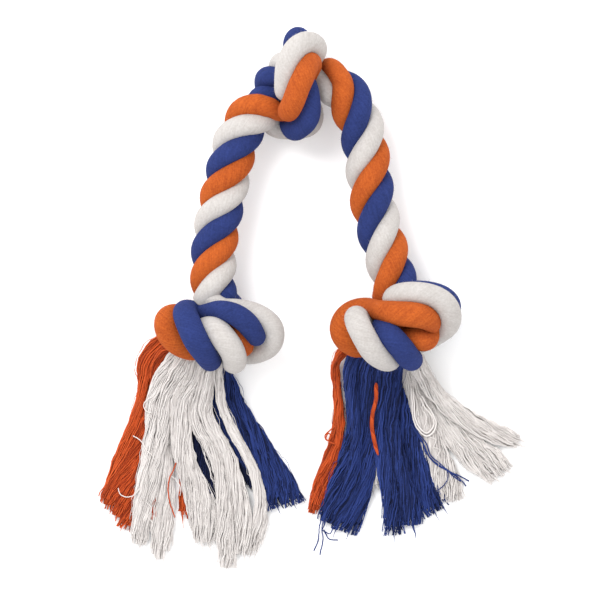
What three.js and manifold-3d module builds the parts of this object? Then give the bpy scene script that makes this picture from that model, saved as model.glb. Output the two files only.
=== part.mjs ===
// Rope toy for a dog: a three-strand cotton rope with three overhand knots and two frayed tassels.
// Millimetres, +Z up. The toy lies flat, and the origin is on the table under the middle of it.
import * as THREE from "three";
import { mergeVertices } from "three/addons/utils/BufferGeometryUtils.js";
import Module from "manifold-3d";

// The rope
const ropeDiameter = 28.6;
const strandDiameter = 11.4;
const leftLayLength = 50.5;
const rightLayLength = 57.2;
const knotStrandDiameter = 14.5;
const clearance = 0.35;

// The three knots: how wide and how high each lies on the table, and how far it stands up from it
const endKnotDepth = 63.4;
const leftKnotWidth = 75.6;
const leftKnotHeight = 45.2;
const rightKnotWidth = 80.5;
const rightKnotHeight = 54.9;
const middleKnotWidth = 43.9;
const middleKnotHeight = 70.8;
const middleKnotDepth = 63.4;

// Where the end knots lie from the middle knot
const leftArmReach = 51.2;
const leftArmDrop = 150.1;
const rightArmReach = 58.6;
const rightArmDrop = 145.8;

// The tassels, from where they leave the knots to the ends of the longest locks
const leftTasselLength = 117.4;
const leftTasselSpread = 126.9;
const rightTasselLength = 98.3;
const rightTasselSpread = 131.2;
const lockWidth = 17;
const lockThickness = 10.4;
const wispDiameter = 3;

// The middle knot's place, which puts the origin under the middle of the toy
const middleKnotX = -9.5;
const middleKnotY = 127.3;

// How far a joint in the rope bends
const largestBendAngle = (32 * Math.PI) / 180;

// Counts: the sides of round pieces, and the steps along curves
const strandSides = 7;
const lockSides = 8;
const ballSides = 18;
const armSteps = 200;
const turnSteps = 12;
const lockSteps = 8;
const fixedSamples = 3;
const ownSamples = 6;
const settleRounds = 120;

// Shares: steps and stubs of the rope's diameter, the mouth of a socket of its ball, the far side of a
// cutter of an arm, and how a knot settles
const spacingShare = 0.13;
const strandStepShare = 0.29;
const knotStepShare = 0.32;
const stubShare = 0.375;
const mouthShare = 1.25;
const farShare = 6;
const bottomCutShare = 0.1;
const settleStartShare = 0.4;
const settleGrowthShare = 0.9;
const settleFillShare = 0.95;
const smoothShare = 0.3;
const homeShare = 0.05;

// Shares along an arm of its hinges and of a place where blue is on top, and shares of half an end knot's
// height at which its tassel starts
const hingeShares = { left: [0.14, 0.56, 0.93], right: [0.17, 0.56, 0.92] };
const blueUpShares = { left: 0.345, right: 0.288 };
const tasselStartShares = { left: 1.064, right: 1.04 };

// Shares of a lock's thickness: how it thins to its end, and how its head and an upper lock are lifted
const lockTaperShare = 0.5;
const lockFallShare = 1.5;
const headLiftShare = 0.7;
const headFallShare = 5;
const wispLiftShare = 1.44;
const wispFallShare = 0.14;
const wispStepShare = 4;

// The knots, strand by strand: shares of the knot's half width, half height and depth, and of the strand.
// The middle knot's strands run from the left arm to the right arm, the others' from the arm to the tassel.
const leftKnotShares = {
  orange: [
    [-0.02, 0.68, 0.308, 0.84], [0.08, 0.38, 0.404, 0.88], [0.23, 0.16, 0.558, 0.92],
    [0.39, -0.03, 0.635, 0.92], [0.5, -0.24, 0.577, 0.92], [0.47, -0.43, 0.404, 0.92],
    [0.18, -0.38, 0.192, 0.97], [-0.15, -0.49, 0.231, 0.97], [-0.37, -0.43, 0.404, 1.01],
    [-0.6, -0.27, 0.548, 1.05], [-0.76, -0.03, 0.625, 1.09], [-0.82, 0.27, 0.615, 1.09],
    [-0.76, 0.49, 0.538, 1.05], [-0.6, 0.59, 0.423, 0.97], [-0.4, 0.38, 0.269, 0.97],
    [-0.31, 0, 0.154, 0.97], [-0.35, -0.27, 0.154, 0.92], [-0.37, -0.65, 0.183, 0.84],
    [-0.4, -1.11, 0.192, 0.79],
  ],
  white: [
    [-0.18, 0.84, 0.577, 0.84], [-0.1, 0.7, 0.615, 0.84], [0.06, 0.7, 0.615, 0.84],
    [0.23, 0.68, 0.596, 0.88], [0.4, 0.65, 0.635, 0.92], [0.56, 0.62, 0.673, 0.92],
    [0.71, 0.49, 0.673, 0.92], [0.81, 0.24, 0.635, 0.97], [0.82, -0.05, 0.558, 0.97],
    [0.74, -0.3, 0.442, 0.97], [0.58, -0.46, 0.308, 0.97], [0.34, -0.46, 0.173, 0.97],
    [0.08, -0.22, 0.115, 1.01], [-0.15, 0.05, 0.154, 1.01], [-0.24, 0.3, 0.308, 0.97],
    [-0.23, 0.46, 0.481, 0.92], [-0.16, 0.49, 0.654, 0.92], [-0.03, 0.3, 0.798, 1.01],
    [0.11, -0.03, 0.865, 1.05], [0.27, -0.35, 0.827, 1.05], [0.39, -0.57, 0.654, 1.01],
    [0.39, -0.59, 0.481, 0.92], [0.35, -0.76, 0.365, 0.84], [0.21, -1.14, 0.231, 0.79],
  ],
  blue: [
    [0.21, 0.84, 0.442, 0.84], [0.26, 0.51, 0.327, 0.88], [0.42, 0.16, 0.308, 0.92],
    [0.6, -0.11, 0.385, 0.92], [0.63, -0.24, 0.538, 0.76], [0.66, -0.05, 0.692, 0.8],
    [0.61, 0.19, 0.798, 0.92], [0.48, 0.41, 0.856, 0.95], [0.31, 0.59, 0.865, 0.92],
    [0.13, 0.65, 0.817, 0.84], [-0.05, 0.62, 0.673, 0.67], [-0.19, 0.51, 0.5, 0.71],
    [-0.32, 0.49, 0.423, 0.84], [-0.47, 0.62, 0.558, 0.97], [-0.5, 0.57, 0.75, 1.03],
    [-0.4, 0.19, 0.865, 1.05], [-0.27, -0.22, 0.885, 1.05], [-0.13, -0.57, 0.75, 1.01],
    [-0.06, -0.73, 0.577, 0.97], [-0.08, -0.7, 0.404, 0.88], [-0.02, -0.89, 0.317, 0.84],
    [0.08, -1.22, 0.192, 0.79],
  ],
};
const rightKnotShares = {
  orange: [
    [-0.12, 0.64, 0.442, 0.84], [-0.02, 0.4, 0.365, 0.88], [0.08, 0.13, 0.346, 0.92],
    [0.17, -0.11, 0.404, 0.92], [0.29, -0.29, 0.538, 0.97], [0.45, -0.31, 0.644, 0.97],
    [0.55, -0.16, 0.615, 0.84], [0.58, 0.11, 0.75, 0.97], [0.41, 0.27, 0.856, 1.05],
    [0.15, 0.29, 0.875, 1.05], [-0.06, 0.33, 0.798, 0.97], [-0.24, 0.33, 0.654, 0.8],
    [-0.41, 0.2, 0.51, 0.84], [-0.59, 0.2, 0.442, 1.01], [-0.74, 0.09, 0.49, 1.09],
    [-0.8, -0.13, 0.529, 1.09], [-0.71, -0.33, 0.5, 1.05], [-0.56, -0.42, 0.346, 0.92],
    [-0.47, -0.51, 0.192, 0.92], [-0.59, -0.78, 0.231, 0.84], [-0.68, -1.09, 0.212, 0.79],
  ],
  white: [
    [-0.17, 0.6, 0.558, 0.84], [-0.08, 0.64, 0.673, 0.88], [0.11, 0.76, 0.779, 0.92],
    [0.35, 0.78, 0.808, 0.92], [0.59, 0.73, 0.779, 0.92], [0.79, 0.56, 0.731, 0.97],
    [0.86, 0.33, 0.673, 0.97], [0.82, 0.11, 0.558, 0.97], [0.68, -0.04, 0.404, 0.97],
    [0.44, -0.2, 0.192, 1.01], [0.14, -0.29, 0.106, 1.01], [-0.17, -0.2, 0.173, 1.01],
    [-0.35, -0.07, 0.346, 1.01], [-0.52, 0.16, 0.538, 0.92], [-0.62, 0.31, 0.731, 0.97],
    [-0.59, 0.13, 0.865, 1.01], [-0.48, -0.2, 0.904, 1.01], [-0.36, -0.47, 0.875, 1.01],
    [-0.23, -0.67, 0.788, 1.01], [-0.09, -0.76, 0.635, 0.97], [0, -0.8, 0.423, 0.84],
    [0.06, -0.96, 0.317, 0.82], [0.23, -1.16, 0.192, 0.79],
  ],
  blue: [
    [0.24, 0.82, 0.538, 0.84], [0.5, 0.78, 0.577, 0.97], [0.74, 0.67, 0.558, 1.01],
    [0.86, 0.44, 0.481, 1.01], [0.8, 0.2, 0.346, 1.01], [0.62, 0.07, 0.192, 1.01],
    [0.32, 0.11, 0.115, 1.01], [0.11, 0.07, 0.154, 1.01], [-0.05, -0.02, 0.308, 0.97],
    [-0.18, 0.04, 0.481, 0.88], [-0.26, 0.16, 0.635, 0.84], [-0.15, -0.07, 0.827, 1.01],
    [0.03, -0.36, 0.865, 1.01], [0.17, -0.58, 0.769, 1.01], [0.26, -0.71, 0.596, 0.97],
    [0.26, -0.76, 0.442, 0.92], [0.17, -0.89, 0.317, 0.84], [-0.26, -1.18, 0.212, 0.79],
  ],
};
const middleKnotShares = {
  orange: [
    [-0.5, -0.43, 0.519, 0.84], [-0.28, -0.36, 0.423, 0.76], [-0.06, -0.21, 0.365, 0.76],
    [0.14, -0.02, 0.385, 0.76], [0.19, 0.16, 0.423, 0.76], [0.25, 0.31, 0.51, 0.76],
    [0.19, 0.43, 0.615, 0.8], [0.17, 0.52, 0.75, 0.84], [0.14, 0.43, 0.856, 0.89],
    [0.08, 0.24, 0.923, 0.92], [-0.03, 0.03, 0.952, 0.94], [-0.11, -0.17, 0.923, 0.94],
    [-0.19, -0.38, 0.827, 0.92], [-0.22, -0.47, 0.692, 0.88], [-0.31, -0.43, 0.529, 0.8],
    [-0.31, -0.28, 0.365, 0.76], [-0.17, -0.09, 0.269, 0.76], [0.08, 0.09, 0.26, 0.76],
    [0.36, 0.24, 0.327, 0.76], [0.64, 0.36, 0.423, 0.8],
  ],
  white: [
    [-0.56, -0.5, 0.356, 0.88], [-0.33, -0.57, 0.269, 0.88], [-0.03, -0.6, 0.163, 1.01],
    [0.31, -0.67, 0.212, 1.12], [0.44, -0.53, 0.269, 1.01], [0.36, -0.31, 0.212, 0.88],
    [0.11, -0.1, 0.125, 0.88], [-0.19, 0.07, 0.125, 0.88], [-0.44, 0.22, 0.212, 0.88],
    [-0.61, 0.36, 0.288, 0.88], [-0.58, 0.47, 0.365, 0.88], [-0.33, 0.43, 0.442, 0.76],
    [-0.22, 0.24, 0.462, 0.76], [-0.22, 0, 0.462, 0.76], [-0.31, -0.19, 0.538, 0.84],
    [-0.39, -0.17, 0.654, 0.88], [-0.39, 0, 0.75, 0.91], [-0.33, 0.21, 0.827, 0.95],
    [-0.25, 0.41, 0.865, 0.95], [-0.08, 0.64, 0.846, 0.95], [0.11, 0.78, 0.788, 0.95],
    [0.28, 0.83, 0.712, 0.92], [0.39, 0.74, 0.596, 0.92], [0.36, 0.57, 0.481, 0.84],
    [0.33, 0.38, 0.365, 0.8], [0.47, 0.17, 0.346, 0.8], [0.72, 0.03, 0.442, 0.88],
  ],
  blue: [
    [-0.64, -0.07, 0.423, 0.84], [-0.31, -0.07, 0.327, 0.8], [-0.03, 0.03, 0.231, 0.8],
    [0.06, 0.24, 0.192, 0.84], [-0.06, 0.47, 0.231, 0.92], [-0.19, 0.66, 0.308, 0.97],
    [-0.14, 0.84, 0.404, 1.01], [0.06, 1, 0.481, 1.05], [0.19, 0.91, 0.519, 0.92],
    [0.22, 0.66, 0.558, 0.8], [0.19, 0.38, 0.615, 0.8], [0.25, 0.14, 0.683, 0.84],
    [0.28, -0.07, 0.74, 0.97], [0.22, -0.28, 0.76, 1.01], [0.14, -0.45, 0.712, 1.01],
    [0, -0.59, 0.615, 1.01], [-0.17, -0.67, 0.481, 0.97], [-0.36, -0.59, 0.346, 0.92],
    [-0.53, -0.41, 0.231, 0.88], [-0.72, -0.24, 0.173, 0.88], [-0.86, -0.07, 0.192, 0.88],
    [-0.92, 0.09, 0.269, 0.88], [-0.89, 0.21, 0.385, 0.92], [-0.69, 0.22, 0.481, 0.84],
    [-0.42, 0.16, 0.442, 0.76], [-0.11, 0.07, 0.404, 0.76], [0.22, 0, 0.365, 0.76],
    [0.58, 0, 0.346, 0.8],
  ],
};

// The arms' centre lines: shares of the way out and down to the end knot, and of the knot's depth
const armShares = {
  left: [
    [0.12, 0.06, 0.45], [0.44, 0.08, 0.48], [0.63, 0.14, 0.47], [0.77, 0.24, 0.46],
    [0.85, 0.36, 0.45], [0.93, 0.48, 0.44], [0.99, 0.59, 0.44], [1.02, 0.71, 0.45],
    [1.02, 0.8, 0.47], [1.01, 0.86, 0.48],
  ],
  right: [
    [0.06, -0.05, 0.44], [0.24, -0.04, 0.46], [0.41, -0.01, 0.46], [0.55, 0.07, 0.46],
    [0.65, 0.17, 0.45], [0.71, 0.3, 0.44], [0.75, 0.43, 0.44], [0.81, 0.55, 0.44],
    [0.9, 0.68, 0.45], [0.98, 0.79, 0.47], [1.02, 0.87, 0.48],
  ],
};

// The locks of the tassels: each row is a share of the spread, of the length and of the widest lock,
// and the layer is 0 on the table and 1 on top of the others
const leftLockShares = [
  ["left_tassel_orange_lock_1", "orange", 0, [
    [-0.25, 0, 0.85], [-0.29, 0.133, 1], [-0.33, 0.289, 1.1], [-0.4, 0.446, 1.2], [-0.45, 0.602, 1.2],
    [-0.47, 0.747, 0.9],
  ]],
  ["left_tassel_orange_lock_2", "orange", 0, [
    [-0.16, 0, 0.8], [-0.2, 0.157, 0.85], [-0.23, 0.349, 0.9], [-0.26, 0.554, 1], [-0.25, 0.783, 0.7],
  ]],
  ["left_tassel_blue_lock_1", "blue", 0, [
    [0.05, 0, 0.8], [0.1, 0.12, 0.9], [0.16, 0.277, 1], [0.22, 0.422, 1.2], [0.29, 0.542, 1.2],
    [0.33, 0.639, 1],
  ]],
  ["left_tassel_blue_lock_2", "blue", 0, [
    [-0.04, 0, 0.7], [-0.06, 0.193, 0.7], [-0.05, 0.398, 0.75], [-0.01, 0.602, 0.7], [0.02, 0.699, 0.5],
  ]],
  ["left_tassel_white_lock_1", "white", 1, [
    [-0.19, 0.012, 0.7], [-0.24, 0.133, 0.9], [-0.28, 0.277, 0.9], [-0.32, 0.47, 0.95],
    [-0.345, 0.687, 0.9], [-0.36, 0.892, 0.6],
  ]],
  ["left_tassel_white_lock_2", "white", 1, [
    [-0.12, 0.012, 0.7], [-0.17, 0.133, 0.9], [-0.21, 0.277, 0.95], [-0.24, 0.494, 1],
    [-0.265, 0.759, 1], [-0.265, 0.988, 0.6],
  ]],
  ["left_tassel_white_lock_3", "white", 1, [
    [-0.06, 0.012, 0.65], [-0.1, 0.133, 0.85], [-0.125, 0.301, 0.9], [-0.11, 0.494, 0.95],
    [-0.07, 0.711, 0.95], [-0.045, 0.916, 0.6],
  ]],
  ["left_tassel_white_lock_4", "white", 1, [
    [-0.01, 0.012, 0.65], [-0.03, 0.157, 0.85], [0, 0.373, 0.95], [0.05, 0.602, 1.05],
    [0.09, 0.807, 1.2], [0.1, 1, 0.9],
  ]],
  ["left_tassel_white_lock_5", "white", 1, [
    [0.03, 0.012, 0.6], [0.03, 0.133, 0.65], [0.065, 0.277, 0.8], [0.125, 0.434, 0.95],
    [0.16, 0.614, 1], [0.175, 0.795, 0.95], [0.17, 0.952, 0.6],
  ]],
];
const rightLockShares = [
  ["right_tassel_orange_lock", "orange", 0, [
    [-0.22, -0.006, 0.75], [-0.25, 0.123, 0.7], [-0.27, 0.265, 0.65], [-0.29, 0.419, 0.65],
    [-0.32, 0.6, 0.6], [-0.35, 0.781, 0.45],
  ]],
  ["right_tassel_blue_lock_1", "blue", 0, [
    [-0.14, -0.006, 0.9], [-0.17, 0.11, 1.05], [-0.175, 0.277, 1.15], [-0.185, 0.484, 1.3],
    [-0.21, 0.716, 1.5], [-0.23, 0.935, 1.1],
  ]],
  ["right_tassel_blue_lock_2", "blue", 0, [
    [-0.05, -0.006, 0.75], [-0.035, 0.135, 0.8], [-0.035, 0.355, 0.85], [-0.02, 0.613, 1],
    [0.01, 0.948, 0.95],
  ]],
  ["right_tassel_blue_lock_3", "blue", 0, [
    [0.02, -0.006, 0.75], [0.035, 0.135, 0.85], [0.06, 0.355, 0.95], [0.11, 0.587, 1.15],
    [0.17, 0.819, 1.15],
  ]],
  ["right_tassel_white_lock_1", "white", 0, [
    [0.1, -0.006, 0.8], [0.135, 0.135, 1], [0.18, 0.316, 1.05], [0.225, 0.51, 1], [0.26, 0.729, 0.7],
  ]],
  ["right_tassel_white_lock_2", "white", 0, [
    [0.17, -0.006, 0.8], [0.2, 0.097, 0.95], [0.29, 0.265, 1.1], [0.37, 0.419, 1.2], [0.43, 0.613, 1],
  ]],
  ["right_tassel_white_lock_3", "white", 1, [
    [0.15, -0.006, 0.7], [0.24, 0.097, 0.85], [0.38, 0.239, 0.9], [0.49, 0.329, 0.9],
    [0.58, 0.394, 0.6],
  ]],
];
const rightWispShares = [[-0.09, 0.032], [-0.105, 0.148], [-0.105, 0.277], [-0.1, 0.381], [-0.08, 0.51]];

const wasm = await Module();
wasm.setup();

// Colours of the dyed and the natural cotton
const finishes = {
  orange: new THREE.MeshStandardMaterial({ color: 0xde6428, roughness: 0.95, metalness: 0 }),
  white: new THREE.MeshStandardMaterial({ color: 0xe8e4e2, roughness: 0.95, metalness: 0 }),
  blue: new THREE.MeshStandardMaterial({ color: 0x34499a, roughness: 0.95, metalness: 0 }),
};
const colours = Object.keys(finishes);

// Solids from three.js geometry, and back
function solidOf(geometry) {
  const bare = geometry.index ? geometry.toNonIndexed() : geometry.clone();
  const places = new THREE.BufferGeometry().setAttribute("position", bare.getAttribute("position"));
  const merged = mergeVertices(places, ropeDiameter * 1e-5);
  const mesh = new wasm.Mesh({
    numProp: 3,
    vertProperties: merged.attributes.position.array,
    triVerts: new Uint32Array(merged.index.array),
  });
  return new wasm.Manifold(mesh);
}

function geometryOf(solid) {
  const mesh = solid.getMesh();
  const places = new Float32Array(mesh.numVert * 3);
  for (let i = 0; i < mesh.numVert; i++) {
    const from = i * mesh.numProp;
    places.set(mesh.vertProperties.subarray(from, from + 3), i * 3);
  }
  const geometry = new THREE.BufferGeometry();
  geometry.setAttribute("position", new THREE.BufferAttribute(places, 3));
  geometry.setIndex(new THREE.BufferAttribute(mesh.triVerts, 1));
  geometry.computeVertexNormals();
  return geometry;
}

// The largest body, without the crumbs that a cut leaves loose
function mainBody(solid) {
  return solid.decompose().reduce((a, b) => (b.volume() > a.volume() ? b : a));
}

// A closed skin over rings of points, with a point in the middle of each end
function skin(rings) {
  const sides = rings[0].length;
  const places = rings.flat();
  const middle = (ring) => ring.reduce((sum, p) => sum.add(p), new THREE.Vector3()).divideScalar(sides);
  const first = places.push(middle(rings[0])) - 1;
  const last = places.push(middle(rings[rings.length - 1])) - 1;
  const faces = [];
  for (let j = 0; j < sides; j++) {
    const k = (j + 1) % sides;
    for (let i = 0; i + 1 < rings.length; i++) {
      const a = i * sides;
      const b = a + sides;
      faces.push(a + j, a + k, b + k, a + j, b + k, b + j);
    }
    const end = (rings.length - 1) * sides;
    faces.push(first, k, j);
    faces.push(last, end + j, end + k);
  }
  const geometry = new THREE.BufferGeometry().setFromPoints(places);
  geometry.setIndex(faces);
  return geometry;
}

// A round tube along a smooth curve through points, each with its own radius
function tube(points, radii, sides, stepLength, grow = 0) {
  const curve = new THREE.CatmullRomCurve3(points, false, "centripetal");
  const steps = Math.max(3, Math.round(curve.getLength() / stepLength));
  const frames = curve.computeFrenetFrames(steps, false);
  const rings = [];
  for (let i = 0; i <= steps; i++) {
    const at = i / steps;
    const index = curve.getUtoTmapping(at) * (points.length - 1);
    const low = Math.min(Math.floor(index), points.length - 2);
    const radius = THREE.MathUtils.lerp(radii[low], radii[low + 1], index - low) + grow;
    const centre = curve.getPointAt(at);
    const ring = [];
    for (let j = 0; j < sides; j++) {
      const angle = (2 * Math.PI * j) / sides;
      const place = centre.clone();
      place.addScaledVector(frames.normals[i], radius * Math.cos(angle));
      place.addScaledVector(frames.binormals[i], radius * Math.sin(angle));
      ring.push(place);
    }
    rings.push(ring);
  }
  return solidOf(skin(rings));
}

// One arm of the rope: its centre line, the frames along it and the places of its three hinges
function makeArm(side, reach, drop, layLength) {
  const places = armShares[side].map(([out, down, up]) => new THREE.Vector3(
    middleKnotX + out * reach,
    middleKnotY - down * drop,
    up * middleKnotDepth,
  ));
  const curve = new THREE.CatmullRomCurve3(places, false, "centripetal");
  const length = curve.getLength();
  const frames = curve.computeFrenetFrames(armSteps, false);
  const frameAt = (share) => {
    const i = Math.round(THREE.MathUtils.clamp(share, 0, 1) * armSteps);
    return {
      centre: curve.getPointAt(i / armSteps),
      tangent: frames.tangents[i],
      normal: frames.normals[i],
      binormal: frames.binormals[i],
    };
  };
  const up = frameAt(blueUpShares[side]);
  const upAngle = Math.atan2(up.binormal.z, up.normal.z);
  const bluePhase = upAngle - (2 * Math.PI * blueUpShares[side] * length) / layLength;
  const turn = (side === "left" ? 1 : -1) * (2 * Math.PI) / 3;
  const phases = { blue: bluePhase, white: bluePhase + turn, orange: bluePhase - turn };
  const helixRadius = (ropeDiameter - strandDiameter) / 2;
  const strandPoint = (colour, along) => {
    const { centre, tangent, normal, binormal } = frameAt(along / length);
    const angle = (2 * Math.PI * along) / layLength + phases[colour];
    const point = centre.clone();
    const past = along < 0 ? along : Math.max(0, along - length);
    point.addScaledVector(tangent, past);
    point.addScaledVector(normal, helixRadius * Math.cos(angle));
    point.addScaledVector(binormal, helixRadius * Math.sin(angle));
    return point;
  };
  const strandPoints = (colour, from, to) => {
    const count = Math.max(2, Math.round((turnSteps * Math.abs(to - from)) / layLength));
    const step = (to - from) / count;
    return Array.from({ length: count + 1 }, (_, i) => strandPoint(colour, from + step * i));
  };
  const hinges = hingeShares[side].map((share) => ({ along: share * length, ...frameAt(share) }));
  return { length, hinges, strandPoints };
}

const arms = {
  left: makeArm("left", -leftArmReach, leftArmDrop, leftLayLength),
  right: makeArm("right", rightArmReach, rightArmDrop, rightLayLength),
};

// Cutters at a hinge: the half of space on its far side, the ball and the socket that turns on the ball
const farAway = farShare * leftArmDrop;
const ballRadius = ropeDiameter / 2;
const socketRadius = (ballRadius + clearance) / Math.cos(Math.PI / ballSides) ** 2;
const mouthDepth = ballRadius * Math.tan(largestBendAngle / 2) + clearance;
const mouthRadius = mouthShare * ballRadius;

function beyond(hinge, direction, early = 0) {
  const box = new THREE.BoxGeometry(farAway, farAway, farAway);
  box.translate(0, 0, farAway / 2 - early);
  const turn = new THREE.Quaternion().setFromUnitVectors(
    new THREE.Vector3(0, 0, 1),
    hinge.tangent.clone().multiplyScalar(direction),
  );
  box.applyQuaternion(turn);
  box.translate(...hinge.centre);
  return solidOf(box);
}

// The mouth of a socket in a knot, which leaves the arm room to lean over
function mouth(hinge, direction) {
  const length = mouthDepth + 2 * ballRadius;
  const opening = new THREE.CylinderGeometry(mouthRadius, mouthRadius, length, ballSides);
  opening.translate(0, length / 2 - mouthDepth, 0);
  const turn = new THREE.Quaternion().setFromUnitVectors(
    new THREE.Vector3(0, 1, 0),
    hinge.tangent.clone().multiplyScalar(direction),
  );
  opening.applyQuaternion(turn);
  opening.translate(...hinge.centre);
  return solidOf(opening);
}

function ball(hinge, radius) {
  const sphere = new THREE.SphereGeometry(radius, ballSides, ballSides / 2);
  sphere.translate(...hinge.centre);
  return solidOf(sphere);
}

const table = (() => {
  const box = new THREE.BoxGeometry(farAway, farAway, farAway);
  box.translate(0, 0, -farAway / 2);
  return solidOf(box);
})();

const toy = new THREE.Group();
function addPiece(name, colour, solid) {
  const mesh = new THREE.Mesh(geometryOf(solid), finishes[colour]);
  mesh.name = name;
  toy.add(mesh);
}

// The arms, each an upper and a lower half that end in balls at the knots
const strandStep = strandStepShare * ropeDiameter;
for (const side of ["left", "right"]) {
  const { hinges, strandPoints } = arms[side];
  const [top, bend, end] = hinges;
  const spare = ballRadius + strandDiameter;
  const strandOf = (colour, from, to, grow) => {
    const points = strandPoints(colour, from, to);
    return tube(points, points.map(() => strandDiameter / 2), strandSides, strandStep, grow);
  };
  const upperEnds = beyond(top, 1).add(ball(top, ballRadius));
  const lowerStart = beyond(bend, 1).add(ball(bend, ballRadius));
  const lowerEnd = beyond(end, -1).add(ball(end, ballRadius));
  const halves = {
    upper: { from: top.along - spare, to: bend.along + spare },
    lower: { from: bend.along - spare, to: end.along + spare },
  };
  for (const [half, { from, to }] of Object.entries(halves)) {
    const taken = [];
    for (const colour of colours) {
      let strand = strandOf(colour, from, to, 0);
      for (const other of taken) strand = strand.subtract(other);
      taken.push(strandOf(colour, from, to, clearance));
      if (half === "upper") {
        strand = strand.intersect(upperEnds).subtract(beyond(bend, 1, mouthDepth));
        strand = strand.subtract(ball(bend, socketRadius));
      } else {
        strand = strand.intersect(lowerStart).intersect(lowerEnd);
      }
      addPiece(`${side}_${half}_arm_${colour}_strand`, colour, mainBody(strand));
    }
  }
}

// A smooth run of evenly spaced points, each with a radius, through a few places
const spacing = spacingShare * ropeDiameter;
function evenRun(places, radii) {
  const curve = new THREE.CatmullRomCurve3(places, false, "centripetal");
  const count = Math.max(3, Math.round(curve.getLength() / spacing));
  const points = [];
  const sizes = [];
  for (let i = 0; i <= count; i++) {
    const index = curve.getUtoTmapping(i / count) * (places.length - 1);
    const low = Math.min(Math.floor(index), places.length - 2);
    points.push(curve.getPointAt(i / count));
    sizes.push(THREE.MathUtils.lerp(radii[low], radii[low + 1], index - low));
  }
  return { points, radii: sizes };
}

// The strands of a knot as they are pulled tight: where two passes are closer than their thickness they
// push each other away, each strand stays smooth, and each point stays near the place it was laid in
const tableCut = knotStrandDiameter * bottomCutShare;
function settle(strands) {
  const samples = strands.flatMap(({ points, radii, free }, strand) => points.map((point, i) => ({
    point, strand, i, radius: radii[i], home: point.clone(), free: free(i),
  })));
  const pushed = new THREE.Vector3();
  for (let round = 0; round < settleRounds; round++) {
    const pull = settleStartShare + (settleGrowthShare * round) / settleRounds;
    const tight = Math.min(1, pull) * settleFillShare;
    const pushes = samples.map(() => ({ sum: new THREE.Vector3(), count: 0 }));
    for (let a = 0; a < samples.length; a++) {
      for (let b = a + 1; b < samples.length; b++) {
        const [p, q] = [samples[a], samples[b]];
        if (p.strand === q.strand && Math.abs(p.i - q.i) < ownSamples) continue;
        pushed.subVectors(p.point, q.point);
        const apart = pushed.length();
        const over = (p.radius + q.radius) * tight - apart;
        if (over <= 0) continue;
        pushed.multiplyScalar(over / apart / 2);
        pushes[a].sum.add(pushed);
        pushes[b].sum.sub(pushed);
        pushes[a].count += 1;
        pushes[b].count += 1;
      }
    }
    samples.forEach((s, k) => {
      if (s.free && pushes[k].count) s.point.addScaledVector(pushes[k].sum, 1 / pushes[k].count);
    });
    const middles = samples.map((s, k) => {
      if (!s.free) return null;
      return samples[k - 1].point.clone().add(samples[k + 1].point).divideScalar(2);
    });
    samples.forEach((s, k) => {
      if (!s.free) return;
      s.point.lerp(middles[k], smoothShare);
      s.point.lerp(s.home, homeShare);
      s.point.z = Math.max(s.point.z, s.radius - tableCut);
    });
  }
  return samples;
}

// Where a neighbour is too near even then, the strand is pressed thinner
function pressThin(samples) {
  for (const s of samples) {
    s.thin = s.radius;
    for (const other of samples) {
      if (other.strand === s.strand && Math.abs(other.i - s.i) < ownSamples) continue;
      const apart = s.point.distanceTo(other.point) - clearance;
      s.thin = Math.min(s.thin, (apart * s.radius) / (s.radius + other.radius));
    }
  }
}

// A knot's own places for one strand, in millimetres
function laidRoute(shares, place, size) {
  const places = shares.map(([x, y, z]) => new THREE.Vector3(
    place.x + (x * size.x) / 2,
    place.y + (y * size.y) / 2,
    z * size.z,
  ));
  return { places, radii: shares.map((row) => (row[3] * knotStrandDiameter) / 2) };
}

// The same strand with its run in the arm, from the arm's hinge to the knot
function joinArm(route, colour, side, hinge, atStart) {
  const { strandPoints, length, hinges } = arms[side];
  const intoKnot = hinge === 0 ? hinges[0].along - stubShare * ropeDiameter : length;
  const stub = strandPoints(colour, hinges[hinge].along, intoKnot);
  const stubRadii = stub.map(() => strandDiameter / 2);
  if (atStart) {
    return { places: [...stub, ...route.places], radii: [...stubRadii, ...route.radii] };
  }
  return {
    places: [...route.places, ...stub.reverse()],
    radii: [...route.radii, ...stubRadii],
  };
}

// A knot's three strands, settled and then cut clear of each other in this order
const order = ["white", "orange", "blue"];
const knotStep = knotStepShare * ropeDiameter;

function addKnot(name, routes, cuts, fixedStart, fixedEnd) {
  const strands = order.map((colour) => {
    const { places, radii } = routes[colour];
    const run = evenRun(places, radii);
    const last = run.points.length - 1;
    return { ...run, free: (i) => i > fixedStart && i < last - fixedEnd };
  });
  const samples = settle(strands);
  pressThin(samples);
  const taken = [...cuts];
  order.forEach((colour, k) => {
    const own = samples.filter((s) => s.strand === k);
    const points = own.map((s) => s.point);
    const radii = own.map((s) => s.thin);
    let strand = tube(points, radii, strandSides, knotStep);
    for (const cut of taken) strand = strand.subtract(cut);
    taken.push(tube(points, radii, strandSides, knotStep, clearance));
    addPiece(`${name}_${colour}_strand`, colour, mainBody(strand.subtract(table)));
  });
}

// Where each knot lies, and how large it is
const knots = {
  middle: {
    place: new THREE.Vector2(middleKnotX, middleKnotY),
    size: new THREE.Vector3(middleKnotWidth, middleKnotHeight, middleKnotDepth),
    shares: middleKnotShares,
  },
  left: {
    place: new THREE.Vector2(middleKnotX - leftArmReach, middleKnotY - leftArmDrop),
    size: new THREE.Vector3(leftKnotWidth, leftKnotHeight, endKnotDepth),
    shares: leftKnotShares,
  },
  right: {
    place: new THREE.Vector2(middleKnotX + rightArmReach, middleKnotY - rightArmDrop),
    size: new THREE.Vector3(rightKnotWidth, rightKnotHeight, endKnotDepth),
    shares: rightKnotShares,
  },
};

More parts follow.
